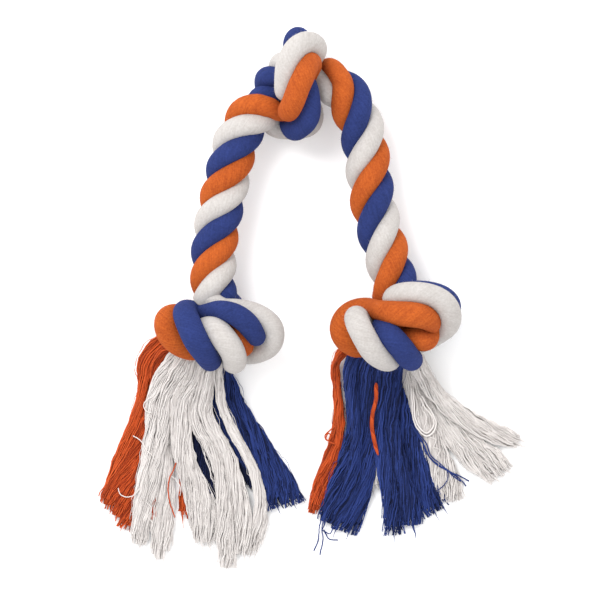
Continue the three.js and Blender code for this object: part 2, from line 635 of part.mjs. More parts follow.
// The middle knot, with a socket for each arm
const middleRoutes = {};
for (const colour of colours) {
  const laid = laidRoute(middleKnotShares[colour], knots.middle.place, knots.middle.size);
  const fromLeft = joinArm(laid, colour, "left", 0, true);
  middleRoutes[colour] = joinArm(fromLeft, colour, "right", 0, false);
}
const sockets = ["left", "right"].flatMap((side) => {
  const top = arms[side].hinges[0];
  return [ball(top, socketRadius), mouth(top, 1)];
});
addKnot("middle_knot", middleRoutes, sockets, fixedSamples, fixedSamples);

// The end knots, each with a socket for its arm and cut off where its tassel starts
const tasselStart = (side) => knots[side].place.y - (tasselStartShares[side] * knots[side].size.y) / 2;
for (const side of ["left", "right"]) {
  const { place, size, shares } = knots[side];
  const end = arms[side].hinges[2];
  const routes = {};
  for (const colour of colours) {
    routes[colour] = joinArm(laidRoute(shares[colour], place, size), colour, side, 2, true);
  }
  const below = new THREE.BoxGeometry(farAway, farAway, farAway);
  below.translate(0, tasselStart(side) - farAway / 2, 0);
  const cuts = [ball(end, socketRadius), mouth(end, -1), solidOf(below)];
  addKnot(`${side}_knot`, routes, cuts, fixedSamples, 0);
}

// The tassels: flattened locks of yarn that fan out over the table
const tassels = {
  left: { length: leftTasselLength, spread: leftTasselSpread, locks: leftLockShares },
  right: { length: rightTasselLength, spread: rightTasselSpread, locks: rightLockShares },
};

function tasselPoint(side, x, y, height) {
  const { length, spread } = tassels[side];
  return new THREE.Vector3(knots[side].place.x + x * spread, tasselStart(side) - y * length, height);
}

function lock(side, rows, layer, grow = 0) {
  const route = rows.map(([x, y]) => tasselPoint(side, x, y, 0));
  const curve = new THREE.CatmullRomCurve3(route, false, "centripetal");
  const rings = [];
  for (let i = 0; i <= lockSteps; i++) {
    const t = i / lockSteps;
    const index = t * (rows.length - 1);
    const low = Math.min(Math.floor(index), rows.length - 2);
    const width = THREE.MathUtils.lerp(rows[low][2], rows[low + 1][2], index - low);
    const halfWidth = (width * lockWidth) / 2 + grow;
    const halfThickness = (lockThickness / 2) * (1 - lockTaperShare * t) + grow;
    const layerLift = layer * Math.max(0, 1 - lockFallShare * t);
    const headLift = headLiftShare * Math.max(0, 1 - headFallShare * t);
    const middle = halfThickness - grow + lockThickness * (layerLift + headLift);
    const centre = curve.getPoint(t);
    const tangent = curve.getTangent(t);
    const across = new THREE.Vector3(-tangent.y, tangent.x, 0).normalize();
    const ring = [];
    for (let j = 0; j < lockSides; j++) {
      const angle = (2 * Math.PI * (j + 0.5)) / lockSides;
      const point = centre.clone().addScaledVector(across, halfWidth * Math.cos(angle));
      point.z = middle + (halfThickness * Math.sin(angle)) / Math.cos(Math.PI / lockSides);
      ring.push(point);
    }
    rings.push(ring);
  }
  if (grow > 0) {
    const first = curve.getTangent(0).multiplyScalar(-grow);
    const last = curve.getTangent(1).multiplyScalar(grow);
    rings[0].forEach((point) => point.add(first));
    rings[lockSteps].forEach((point) => point.add(last));
  }
  return solidOf(skin(rings));
}

// Each lock is cut clear of the knot above it and of the locks laid before it
function addTassel(side) {
  const above = new THREE.BoxGeometry(farAway, farAway, farAway);
  above.translate(0, tasselStart(side) - clearance + farAway / 2, 0);
  const taken = [solidOf(above)];
  for (const [name, colour, layer, rows] of tassels[side].locks) {
    let piece = lock(side, rows, layer);
    for (const other of taken) piece = piece.subtract(other);
    taken.push(lock(side, rows, layer, clearance));
    addPiece(name, colour, mainBody(piece.subtract(table)));
  }
  return taken;
}
addTassel("left");
const takenRight = addTassel("right");

// The thin orange wisp that lies along the right tassel
const wispPoints = rightWispShares.map(([x, y], i) => (
  tasselPoint("right", x, y, lockThickness * (wispLiftShare - wispFallShare * i))
));
const wispRadii = wispPoints.map(() => wispDiameter / 2);
let wisp = tube(wispPoints, wispRadii, strandSides, wispStepShare * wispDiameter);
for (const other of takenRight) wisp = wisp.subtract(other);
addPiece("right_tassel_orange_wisp", "orange", mainBody(wisp));

export default toy;
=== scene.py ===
"""Rope toy for a dog: three strands of cotton in a rope with three knots and two frayed tassels."""

import math

import bpy
import numpy as np
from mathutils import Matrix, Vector


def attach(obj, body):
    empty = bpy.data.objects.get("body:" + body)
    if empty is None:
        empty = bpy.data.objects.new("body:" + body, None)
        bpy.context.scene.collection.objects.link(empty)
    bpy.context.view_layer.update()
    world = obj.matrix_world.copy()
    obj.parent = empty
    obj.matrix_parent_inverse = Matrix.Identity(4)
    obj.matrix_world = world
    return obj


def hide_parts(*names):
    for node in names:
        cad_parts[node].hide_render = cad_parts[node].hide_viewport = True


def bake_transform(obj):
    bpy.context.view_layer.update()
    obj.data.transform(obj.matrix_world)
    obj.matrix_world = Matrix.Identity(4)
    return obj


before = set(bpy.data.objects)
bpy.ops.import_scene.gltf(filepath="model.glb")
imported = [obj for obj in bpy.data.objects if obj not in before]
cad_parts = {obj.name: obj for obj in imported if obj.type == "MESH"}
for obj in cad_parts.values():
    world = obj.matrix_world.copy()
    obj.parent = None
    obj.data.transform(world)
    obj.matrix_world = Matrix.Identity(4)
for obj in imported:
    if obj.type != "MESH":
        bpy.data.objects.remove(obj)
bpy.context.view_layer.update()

MM = 0.001
FULL_TURN = 2 * math.pi
SIDES = ("left", "right")
COLOURS = ("orange", "white", "blue")

# Places and sizes in metres, as the solids have them
MIDDLE_KNOT = (-0.0095, 0.1273)
ARM_REACHES = {"left": (-0.0512, -0.1501), "right": (0.0586, -0.1458)}
KNOT_SIZES = {
    "middle": (0.0439, 0.0708, 0.0634),
    "left": (0.0756, 0.0452, 0.0634),
    "right": (0.0805, 0.0549, 0.0634),
}
LAYS = {"left": 0.0505, "right": 0.0572}
HINGE_SHARES = {"left": (0.14, 0.56, 0.93), "right": (0.17, 0.56, 0.92)}
BLUE_UP_SHARES = {"left": 0.345, "right": 0.288}
LAID_STRAND = 0.0057
KNOT_STRAND = 0.00725
STUB_REACH = 0.0075

# How finely the routes are followed, and the least gap that counts on them
CURVE_SAMPLES = 24
LEAST_LENGTH = 1e-12
LEAST_GAP = 1e-5
ARM_STEP = 0.4 * MM
KNOT_STEP = 0.003718
SAMPLES_PER_LAY = 12

# How a knot is pulled tight: rounds of small pushes, in which each strand stays smooth and near its place
SETTLE_ORDER = ("white", "orange", "blue")
SETTLE_ROUNDS = 120
HELD_SAMPLES = {"middle": 2, "left": 3, "right": 3}
NEIGHBOUR_SAMPLES = 6
FIRST_TIGHTNESS = 0.4
TIGHTNESS_GAIN = 0.9
FULL_TIGHTNESS = 0.95
EVENING = 0.3
HOMING = 0.05
TOUCHING = 1e-9
TABLE_PRESS = 0.00145
SOFTENING_ROUNDS = 3

# The strands as they show: fuller than the solids, so that they press into each other
ROPE_STRAND = 0.0067
ROPE_HELIX = 0.0075
KNOT_SWELL = 1.03
CREASE_DEPTH = 1.22
STRAND_SIDES = 40
STRAND_STEP = 0.0009
TOP_OVERLAP = 0.002
ARM_OVERLAP = 0.010
SEAM_LAP = 0.00006
WAY_SHARE = 0.02
ARM_SEEDS = 11
KNOT_SEEDS = 40

# The nap of loose fibres on the strands
FIBRES_PER_AREA = 250000.0
FIBRE_LENGTH = 1.5 * MM
FIBRE_THICKNESS = 0.035 * MM
FIBRE_LEAN = 1.15
FIBRE_TURN = 6.28
FIBRE_SIZES = (0.3, 1.2)

# The locks of the tassels: an upper one lies higher, and all rise to the knot at their heads
LOCK_THICKNESS = 0.0104
TIP_THINNING = 0.45
LAYER_LIFT = 0.9
LAYER_HOLD = 1.05
LAYER_FALL = 1.15
HEAD_LIFT = 0.009
HEAD_FALL = 4.5
FRINGE = 0.0065
LOCK_STEP = 1.0 * MM
YARN_STEP = 0.0028
FEWEST_STEPS = 12
TASSEL_SEED = 7
LOCK_SEEDS = 3

# The twisted bundles of a lock, in shares of half its width, half its thickness and its length
BUNDLE_WIDTH = 6.5 * MM
BUNDLE_SPREAD = 0.78
BUNDLE_SWAY = 0.5
BUNDLE_REACH = 1.35
BUNDLE_HEIGHT = 0.68
BUNDLE_ROLL = 0.3
BUNDLE_PACES = (0.5, 0.9)
BUNDLE_LIFTS = (-0.25, 0.25)
BUNDLE_TURNS = (0.7, 1.3)
BUNDLE_CUTS = (0, 0.09)

# Each bundle has a core, so that no gap shows between its yarns
CORE_SHARE = 0.75
CORE_LENGTH = 0.9
CORE_POINT = 0.15
CORE_TIP = 0.1
CORE_SHADE = 0.4
CORE_LOOSENESS = 0.2

# The single yarns, of which a few are thin and stray from their bundle
YARNS_PER_WIDTH = 16500
YARN_RADIUS = 0.00039
YARN_SIZES = (0.8, 1.15)
YARN_SHADES = (-0.3, 0.95)
YARN_LOOSENESS = 0.6
INNERMOST = 0.12
WIDEST = 1.18
CROWN = 0.55
CROWN_LEAST = 0.1
FRAY_START = 0.7
FRAY_LENGTH = 0.3
FRAY_POWER = 1.5
FRAY = 0.6
STRAY_SHARE = 0.08
STRAY_OUT = 1.12
STRAY_UP = 1.15
STRAY_LIFT = 0.1
STRAY_RADIUS = 0.00014
STRAY_LOOSENESS = 2.2

# The loose threads, and the wisp: six yarns round one, thinner at its head and its tail
THREAD_STEP = 0.8 * MM
THREAD_REST = 1.6 * MM
THREAD_ROUNDS = 40
THREAD_SHADE = 0.3
THREAD_LOOSENESS = 0.4
THREAD_SEEDS = {"left": 20, "right": 30}
WISP_RADIUS = 0.0012
WISP_ROUND = 6
WISP_TURNS = 5
WISP_SPREAD = 0.62
WISP_FINENESS = 0.45
WISP_HEAD = (0.45, 0.08)
WISP_TAIL = (0.3, 0.2)
WISP_SHADES = (-0.1, 0.5)
WISP_LOOSENESS = 0.1
WISP_SEED = 5

# How the yarns are crimped and cut
CRIMPS_PER_LENGTH = 150.0
CRIMP_WAVE = {"Detail": 1.5, "Roughness": 0.5}
STRAY_WAVE = {"Scale": 1.0, "Detail": 2.0, "Roughness": 0.6}
CUT_POWER = 1.6
STRAY_PACE = (7.31, 11.0, 3.77)
LOCK_MAKE = {"Sides": 3, "Crimp Height": 0.8 * MM, "Stray Height": 0.9 * MM, "Ragged Share": 0.13}
THREAD_MAKE = {"Sides": 6, "Crimp Height": 0.25 * MM, "Stray Height": 0.4 * MM, "Ragged Share": 0.0}
WISP_MAKE = {"Sides": 6, "Crimp Height": 0.2 * MM, "Stray Height": 0.2 * MM, "Ragged Share": 0.05}

# The camera, the light and the floor
VIEW_WIDTH = 0.366
VIEW_PLACE = (-0.0089, -0.0020, 1.2)
SKY = 1.42
LAMP_PLACE = (-0.5, 0.7, 1.3)
LAMP_SIZE = 0.7
LAMP_POWER = 15.0
FLOOR_HALF = 4.0
FLOOR_PAINT = {"Base Color": (0.96, 0.96, 0.96, 1), "Roughness": 0.9, "Specular IOR Level": 0.1}

# The cotton: its light and dark as a screen shows them, its soft sheen, and the finish of both kinds
STRAND_COLOURS = {
    "orange": ((182, 90, 36), (136, 56, 22)),
    "white": ((188, 184, 181), (162, 156, 152)),
    "blue": ((43, 56, 111), (27, 37, 76)),
}
YARN_COLOURS = {
    "orange": ((196, 84, 38), (122, 38, 16)),
    "white": ((218, 213, 210), (196, 190, 187)),
    "blue": ((45, 63, 126), (12, 17, 41)),
}
SHEEN = {"orange": 0.25, "white": 0.2, "blue": 0.3}
FELT_FINISH = {"Roughness": 0.95, "Specular IOR Level": 0.15, "Sheen Roughness": 0.55}
YARN_FINISH = {"Roughness": 0.9, "Specular IOR Level": 0.2, "Sheen Roughness": 0.5}

# The grain of the felt: the yarns that wind round a strand, fine fibres, felted lumps and broad patches
YARN_PITCH = 0.03
YARN_GRAIN = 7.0
YARN_STRETCH = 110.0
WOUND_NOISE = {"Scale": 1.0, "Detail": 2.5, "Roughness": 0.6}
FINE_NOISE = {"Scale": 2600, "Detail": 3, "Roughness": 0.7}
LUMP_NOISE = {"Scale": 800, "Detail": 3, "Roughness": 0.65}
BROAD_NOISE = {"Scale": 60, "Detail": 2, "Roughness": 0.5}
FINE_RELIEF = 0.6
COARSE_RELIEF = 0.9
FELT_BUMP = {"Strength": 0.85, "Distance": 0.5 * MM}
DARKENING = -1.02
WOUND_TONE = 1.1
BROAD_TONE = 0.6
LUMP_TONE = 1.5

# The grain of a frayed yarn
FIBRE_NOISE = {"Scale": 1500, "Detail": 2}
FIBRE_TONE = 0.6
YARN_BUMP = {"Strength": 0.4, "Distance": 0.1 * MM}

# The strands through the knots: x and y as shares of half a knot's size, z of its height, and fullness
LEFT_KNOT_SHARES = {
    "orange": [
        [-0.02, 0.68, 0.308, 0.84], [0.08, 0.38, 0.423, 0.88], [0.23, 0.19, 0.596, 0.92],
        [0.39, 0, 0.692, 0.92], [0.52, -0.24, 0.625, 0.92], [0.48, -0.46, 0.442, 0.92],
        [0.18, -0.38, 0.192, 0.97], [-0.15, -0.49, 0.231, 0.97], [-0.37, -0.43, 0.404, 1.01],
        [-0.6, -0.27, 0.548, 1.05], [-0.76, -0.03, 0.625, 1.09], [-0.82, 0.27, 0.615, 1.09],
        [-0.76, 0.49, 0.538, 1.05], [-0.6, 0.59, 0.423, 0.97], [-0.4, 0.38, 0.269, 0.97],
        [-0.31, 0, 0.154, 0.97], [-0.35, -0.27, 0.154, 0.92],
    ],
    "white": [
        [-0.18, 0.84, 0.577, 0.84], [-0.1, 0.7, 0.615, 0.84], [0.06, 0.7, 0.615, 0.84],
        [0.23, 0.68, 0.596, 0.88], [0.4, 0.65, 0.635, 0.92], [0.56, 0.62, 0.673, 0.92],
        [0.71, 0.49, 0.673, 0.92], [0.81, 0.24, 0.635, 0.97], [0.82, -0.05, 0.558, 0.97],
        [0.74, -0.3, 0.442, 0.97], [0.58, -0.46, 0.308, 0.97], [0.34, -0.46, 0.173, 0.97],
        [0.08, -0.22, 0.115, 1.01], [-0.15, 0.05, 0.154, 1.01], [-0.24, 0.3, 0.308, 0.97],
        [-0.23, 0.46, 0.481, 0.92], [-0.16, 0.49, 0.654, 0.92], [-0.03, 0.3, 0.798, 1.01],
        [0.11, -0.03, 0.865, 1.05], [0.27, -0.35, 0.827, 1.05], [0.39, -0.57, 0.654, 1.01],
        [0.39, -0.59, 0.481, 0.92], [0.27, -0.49, 0.327, 0.84],
    ],
    "blue": [
        [0.21, 0.84, 0.442, 0.84], [0.26, 0.51, 0.327, 0.88], [0.42, 0.16, 0.308, 0.92],
        [0.6, -0.11, 0.385, 0.92], [0.63, -0.24, 0.538, 0.76], [0.66, -0.05, 0.692, 0.8],
        [0.61, 0.19, 0.798, 0.92], [0.48, 0.41, 0.856, 0.95], [0.31, 0.59, 0.865, 0.92],
        [0.13, 0.65, 0.817, 0.84], [-0.05, 0.62, 0.673, 0.67], [-0.19, 0.51, 0.5, 0.71],
        [-0.32, 0.49, 0.423, 0.84], [-0.47, 0.62, 0.558, 0.97], [-0.5, 0.57, 0.75, 1.03],
        [-0.4, 0.19, 0.865, 1.05], [-0.27, -0.22, 0.885, 1.05], [-0.13, -0.57, 0.75, 1.01],
        [-0.06, -0.73, 0.577, 0.97], [-0.08, -0.7, 0.404, 0.88],
    ],
}
RIGHT_KNOT_SHARES = {
    "orange": [
        [-0.12, 0.64, 0.442, 0.84], [-0.02, 0.4, 0.365, 0.88], [0.08, 0.13, 0.365, 0.92],
        [0.15, -0.09, 0.462, 0.92], [0.27, -0.24, 0.635, 0.97], [0.44, -0.31, 0.712, 0.92],
        [0.58, -0.24, 0.596, 0.71], [0.55, -0.09, 0.481, 0.63], [0.59, 0.09, 0.654, 0.84],
        [0.41, 0.27, 0.856, 1.05], [0.15, 0.29, 0.875, 1.05], [-0.06, 0.33, 0.798, 0.97],
        [-0.24, 0.33, 0.654, 0.8], [-0.41, 0.2, 0.51, 0.84], [-0.59, 0.2, 0.442, 1.01],
        [-0.74, 0.09, 0.49, 1.09], [-0.8, -0.13, 0.529, 1.09], [-0.71, -0.33, 0.5, 1.05],
        [-0.56, -0.42, 0.346, 0.92], [-0.44, -0.42, 0.192, 0.92],
    ],
    "white": [
        [-0.17, 0.6, 0.558, 0.84], [-0.08, 0.64, 0.673, 0.88], [0.11, 0.76, 0.779, 0.92],
        [0.35, 0.78, 0.808, 0.92], [0.59, 0.73, 0.779, 0.92], [0.79, 0.56, 0.731, 0.97],
        [0.86, 0.33, 0.673, 0.97], [0.82, 0.11, 0.558, 0.97], [0.68, -0.04, 0.404, 0.97],
        [0.44, -0.2, 0.192, 1.01], [0.14, -0.29, 0.106, 1.01], [-0.17, -0.2, 0.173, 1.01],
        [-0.35, -0.07, 0.346, 1.01], [-0.52, 0.16, 0.538, 0.92], [-0.62, 0.31, 0.731, 0.97],
        [-0.59, 0.13, 0.865, 1.01], [-0.48, -0.2, 0.904, 1.01], [-0.36, -0.47, 0.875, 1.01],
        [-0.23, -0.67, 0.788, 1.01], [-0.09, -0.76, 0.635, 0.97], [-0.02, -0.73, 0.462, 0.84],
        [0.02, -0.6, 0.327, 0.8],
    ],
    "blue": [
        [0.24, 0.82, 0.538, 0.84], [0.5, 0.78, 0.577, 0.97], [0.74, 0.67, 0.558, 1.01],
        [0.86, 0.44, 0.481, 1.01], [0.8, 0.2, 0.346, 1.01], [0.62, 0.07, 0.192, 1.01],
        [0.32, 0.11, 0.115, 1.01], [0.11, 0.07, 0.154, 1.01], [-0.05, -0.02, 0.308, 0.97],
        [-0.18, 0.04, 0.481, 0.88], [-0.26, 0.16, 0.635, 0.84], [-0.15, -0.07, 0.827, 1.01],
        [0.03, -0.36, 0.865, 1.01], [0.17, -0.58, 0.769, 1.01], [0.26, -0.71, 0.596, 0.97],
        [0.26, -0.76, 0.442, 0.92], [0.14, -0.64, 0.327, 0.84],
    ],
}
MIDDLE_KNOT_SHARES = {
    "orange": [
        [-0.5, -0.43, 0.519, 0.84], [-0.28, -0.36, 0.423, 0.76], [-0.06, -0.21, 0.365, 0.76],
        [0.14, -0.02, 0.385, 0.76], [0.19, 0.16, 0.423, 0.76], [0.25, 0.31, 0.51, 0.76],
        [0.19, 0.43, 0.615, 0.8], [0.17, 0.52, 0.75, 0.84], [0.14, 0.43, 0.856, 0.89],
        [0.08, 0.24, 0.923, 0.92], [-0.03, 0.03, 0.952, 0.94], [-0.11, -0.17, 0.923, 0.94],
        [-0.19, -0.38, 0.827, 0.92], [-0.22, -0.47, 0.692, 0.88], [-0.31, -0.43, 0.529, 0.8],
        [-0.31, -0.28, 0.365, 0.76], [-0.17, -0.09, 0.269, 0.76], [0.08, 0.09, 0.26, 0.76],
        [0.36, 0.24, 0.327, 0.76], [0.64, 0.36, 0.423, 0.8],
    ],
    "white": [
        [-0.56, -0.5, 0.356, 0.88], [-0.33, -0.57, 0.269, 0.88], [-0.03, -0.6, 0.163, 1.01],
        [0.31, -0.67, 0.212, 1.12], [0.44, -0.53, 0.269, 1.01], [0.36, -0.31, 0.212, 0.88],
        [0.11, -0.1, 0.125, 0.88], [-0.19, 0.07, 0.125, 0.88], [-0.44, 0.22, 0.212, 0.88],
        [-0.61, 0.36, 0.288, 0.88], [-0.58, 0.47, 0.365, 0.88], [-0.33, 0.43, 0.442, 0.76],
        [-0.22, 0.24, 0.462, 0.76], [-0.22, 0, 0.462, 0.76], [-0.31, -0.19, 0.538, 0.84],
        [-0.39, -0.17, 0.654, 0.88], [-0.39, 0, 0.75, 0.91], [-0.33, 0.21, 0.827, 0.95],
        [-0.25, 0.41, 0.865, 0.95], [-0.08, 0.64, 0.846, 0.95], [0.11, 0.78, 0.788, 0.95],
        [0.28, 0.83, 0.712, 0.92], [0.39, 0.74, 0.596, 0.92], [0.36, 0.57, 0.481, 0.84],
        [0.33, 0.38, 0.365, 0.8], [0.47, 0.17, 0.346, 0.8], [0.72, 0.03, 0.442, 0.88],
    ],
    "blue": [
        [-0.64, -0.07, 0.423, 0.84], [-0.31, -0.07, 0.327, 0.8], [-0.03, 0.03, 0.231, 0.8],
        [0.06, 0.24, 0.192, 0.84], [-0.06, 0.47, 0.231, 0.92], [-0.19, 0.66, 0.308, 0.97],
        [-0.14, 0.83, 0.404, 1.01], [0.03, 0.95, 0.481, 1.04], [0.17, 0.88, 0.519, 0.92],
        [0.22, 0.66, 0.558, 0.8], [0.19, 0.38, 0.615, 0.8], [0.25, 0.14, 0.683, 0.84],
        [0.28, -0.07, 0.74, 0.97], [0.22, -0.28, 0.76, 1.01], [0.14, -0.45, 0.712, 1.01],
        [0, -0.59, 0.615, 1.01], [-0.17, -0.67, 0.481, 0.97], [-0.36, -0.59, 0.346, 0.92],
        [-0.53, -0.41, 0.231, 0.88], [-0.72, -0.24, 0.173, 0.88], [-0.86, -0.07, 0.192, 0.88],
        [-0.92, 0.09, 0.269, 0.88], [-0.89, 0.21, 0.385, 0.92], [-0.69, 0.22, 0.481, 0.84],
        [-0.42, 0.16, 0.442, 0.76], [-0.11, 0.07, 0.404, 0.76], [0.22, 0, 0.365, 0.76],
        [0.58, 0, 0.346, 0.8],
    ],
}
KNOT_SHARES = {"middle": MIDDLE_KNOT_SHARES, "left": LEFT_KNOT_SHARES, "right": RIGHT_KNOT_SHARES}
KNOT_PLACES = {"middle": MIDDLE_KNOT}
for side, (across, down) in ARM_REACHES.items():
    KNOT_PLACES[side] = (MIDDLE_KNOT[0] + across, MIDDLE_KNOT[1] + down)

# The middle of each arm, as shares of its reach to the side and down, and of the middle knot's height
ARM_SHARES = {
    "left": [
        [0.12, 0.06, 0.45], [0.44, 0.08, 0.48], [0.63, 0.14, 0.47], [0.77, 0.24, 0.46],
        [0.85, 0.36, 0.45], [0.93, 0.48, 0.44], [0.99, 0.59, 0.44], [1.02, 0.71, 0.45],
        [1.02, 0.8, 0.47], [1.01, 0.86, 0.48],
    ],
    "right": [
        [0.06, -0.05, 0.44], [0.24, -0.04, 0.46], [0.41, -0.01, 0.46], [0.55, 0.07, 0.46],
        [0.65, 0.17, 0.45], [0.71, 0.3, 0.44], [0.75, 0.43, 0.44], [0.81, 0.55, 0.44],
        [0.9, 0.68, 0.45], [0.98, 0.79, 0.47], [1.02, 0.87, 0.48],
    ],
}

# The locks in millimetres: name, layer from -1 under to 1 over the rest (a lock under the rest gets
# painted shade), and rows of x, y and width
LEFT_LOCKS = [
    ("orange_lock_1", 0, [
        (-84.5, -27.0, 11.0), (-93.1, -32.5, 14.6), (-98.0, -41.0, 16.5), (-99.2, -52.6, 14.0),
        (-102.2, -64.2, 12.2), (-107.7, -81.3, 14.6), (-115.7, -99.6, 16.5), (-122.4, -114.8, 14.6),
        (-126.6, -128.3, 12.2),
    ]),
    ("orange_lock_2", 0, [
        (-80.9, -27.6, 12.2), (-87.6, -36.1, 12.2), (-93.1, -50.8, 12.2), (-97.4, -66.0, 12.2),
        (-101.6, -87.4, 13.4), (-107.1, -108.7, 13.4), (-112.6, -124.0, 12.8),
        (-117.5, -137.4, 12.8),
    ]),
    ("orange_lock_2", 0, [
        (-78.4, -29.4, 6.1), (-83.3, -47.7, 4.9), (-90.6, -69.1, 3.7), (-95.5, -93.5, 3.7),
        (-98.6, -114.8, 4.9), (-99.8, -135.0, 7.3),
    ]),
    ("orange_lock_2", 0, [
        (-76.0, -29.4, 6.1), (-78.4, -47.7, 4.9), (-81.5, -75.2, 3.7), (-80.9, -99.6, 4.9),
        (-79.1, -117.9, 6.1), (-77.8, -135.0, 7.9),
    ]),
    ("blue_lock_1", 0, [
        (-62.6, -29.4, 13.4), (-60.1, -41.6, 14.6), (-56.5, -53.8, 16.5), (-52.8, -64.8, 18.9),
        (-44.9, -78.2, 22.6), (-37.0, -91.7, 25.0), (-29.6, -104.5, 27.4), (-23.5, -114.8, 28.7),
        (-18.7, -125.8, 26.8),
    ]),
    ("blue_lock_2", -1, [
        (-67.5, -29.4, 9.8), (-68.7, -44.7, 8.5), (-69.9, -63.0, 12.2), (-69.3, -84.3, 13.4),
        (-66.2, -105.7, 13.4), (-62.0, -121.5, 11.0),
    ]),
    ("blue_lock_2", -1, [
        (-64.4, -31.3, 4.9), (-62.6, -50.8, 3.7), (-59.5, -66.0, 4.9), (-51.6, -86.2, 7.3),
        (-44.3, -102.0, 8.5), (-39.4, -113.0, 7.3),
    ]),
    ("white_lock_1", 1, [
        (-78.4, -27.0, 11.0), (-83.3, -38.6, 12.2), (-89.4, -49.6, 14.6), (-94.3, -63.0, 12.8),
        (-96.1, -81.3, 11.6), (-99.2, -99.6, 11.0), (-102.2, -117.9, 11.6), (-105.3, -136.2, 10.4),
        (-107.1, -152.7, 9.2),
    ]),
    ("white_lock_2", 0, [
        (-76.0, -27.0, 9.8), (-80.9, -39.8, 9.8), (-86.4, -53.8, 9.8), (-89.4, -69.1, 8.5),
        (-91.3, -87.4, 9.2), (-90.6, -105.7, 11.6), (-90.6, -124.0, 13.4), (-91.9, -142.3, 12.8),
        (-93.7, -161.8, 9.8),
    ]),
    ("white_lock_3", 1, [
        (-72.3, -27.0, 12.2), (-76.0, -37.4, 13.4), (-78.4, -49.0, 15.9), (-83.9, -63.0, 13.4),
        (-83.3, -78.2, 14.6), (-81.5, -93.5, 11.6), (-77.2, -108.7, 13.4), (-71.1, -124.0, 16.5),
        (-66.9, -139.2, 14.6), (-65.0, -153.9, 10.4),
    ]),
    ("white_lock_4", 1, [
        (-66.2, -27.6, 11.0), (-68.1, -42.2, 12.2), (-69.9, -55.7, 14.6), (-71.1, -69.1, 16.5),
        (-67.5, -78.8, 15.9), (-61.4, -87.4, 14.6), (-54.7, -99.6, 16.5), (-50.4, -113.6, 18.3),
        (-47.9, -128.3, 21.3), (-47.3, -145.3, 23.2), (-47.9, -161.8, 20.1),
    ]),
    ("white_lock_5", 1, [
        (-62.6, -27.6, 9.8), (-59.5, -42.2, 9.2), (-57.7, -53.8, 5.5), (-56.5, -64.2, 4.9),
        (-51.6, -77.6, 4.9), (-44.9, -89.2, 5.5), (-38.8, -100.8, 5.5), (-35.1, -113.0, 6.1),
        (-33.3, -125.8, 7.9), (-34.5, -142.3, 10.4), (-38.2, -156.3, 8.5),
    ]),
]
RIGHT_LOCKS = [
    ("orange_lock", 0, [
        (26.5, -27.6, 9.8), (17.9, -33.7, 7.3), (13.1, -42.2, 6.1), (13.7, -55.7, 5.5),
        (14.3, -70.3, 6.7), (13.1, -84.3, 8.5), (9.4, -98.4, 9.2), (4.5, -111.8, 9.2),
        (0.2, -128.9, 6.1),
    ]),
    ("blue_lock_1", 1, [
        (32.6, -27.6, 15.9), (28.9, -36.1, 18.9), (26.5, -44.7, 20.7), (26.5, -55.7, 21.3),
        (27.1, -69.1, 19.5), (27.7, -84.3, 20.7), (25.9, -98.4, 24.4), (23.4, -111.8, 28.1),
        (19.8, -125.8, 28.7), (14.9, -141.7, 26.8),
    ]),
    ("blue_lock_2", 1, [
        (42.3, -27.6, 14.6), (44.2, -37.4, 18.3), (44.8, -47.7, 18.9), (44.8, -59.9, 17.1),
        (44.2, -75.2, 17.1), (46.0, -90.4, 18.9), (48.4, -105.7, 22.0), (50.9, -120.9, 23.2),
        (52.7, -144.1, 25.0),
    ]),
    ("blue_lock_3", 0, [
        (46.0, -28.8, 12.2), (49.0, -38.6, 12.2), (51.5, -49.6, 12.2), (53.3, -61.2, 12.2),
        (54.5, -75.2, 14.0), (57.6, -90.4, 16.5), (61.9, -105.7, 18.9), (67.3, -119.7, 23.8),
        (74.1, -130.7, 26.2),
    ]),
    ("white_lock_1", 0, [
        (50.9, -32.5, 9.8), (55.8, -48.3, 8.5), (60.6, -63.0, 9.2), (66.7, -78.2, 12.2),
        (72.8, -92.3, 15.9), (78.3, -104.5, 18.3), (82.6, -114.2, 16.5), (84.4, -120.9, 12.2),
    ]),
    ("white_lock_2", 0, [
        (53.3, -32.5, 11.0), (58.8, -45.9, 10.4), (64.9, -59.3, 11.0), (74.7, -73.4, 14.0),
        (85.6, -84.9, 16.5), (97.2, -94.7, 17.7), (107.6, -102.6, 17.1), (114.9, -108.7, 13.4),
    ]),
    ("white_lock_3", 1, [
        (57.0, -31.3, 11.0), (61.9, -42.2, 10.4), (68.6, -53.2, 9.8), (77.1, -63.6, 9.8),
        (86.9, -71.5, 11.0), (98.5, -77.6, 11.6), (111.9, -83.1, 11.0), (126.5, -88.0, 7.9),
    ]),
    ("white_lock_1", 0, [
        (36.2, -33.7, 4.9), (35.0, -63.0, 4.9), (35.6, -93.5, 5.5), (36.8, -116.1, 4.9),
    ]),
]
LOCKS = {"left": LEFT_LOCKS, "right": RIGHT_LOCKS}

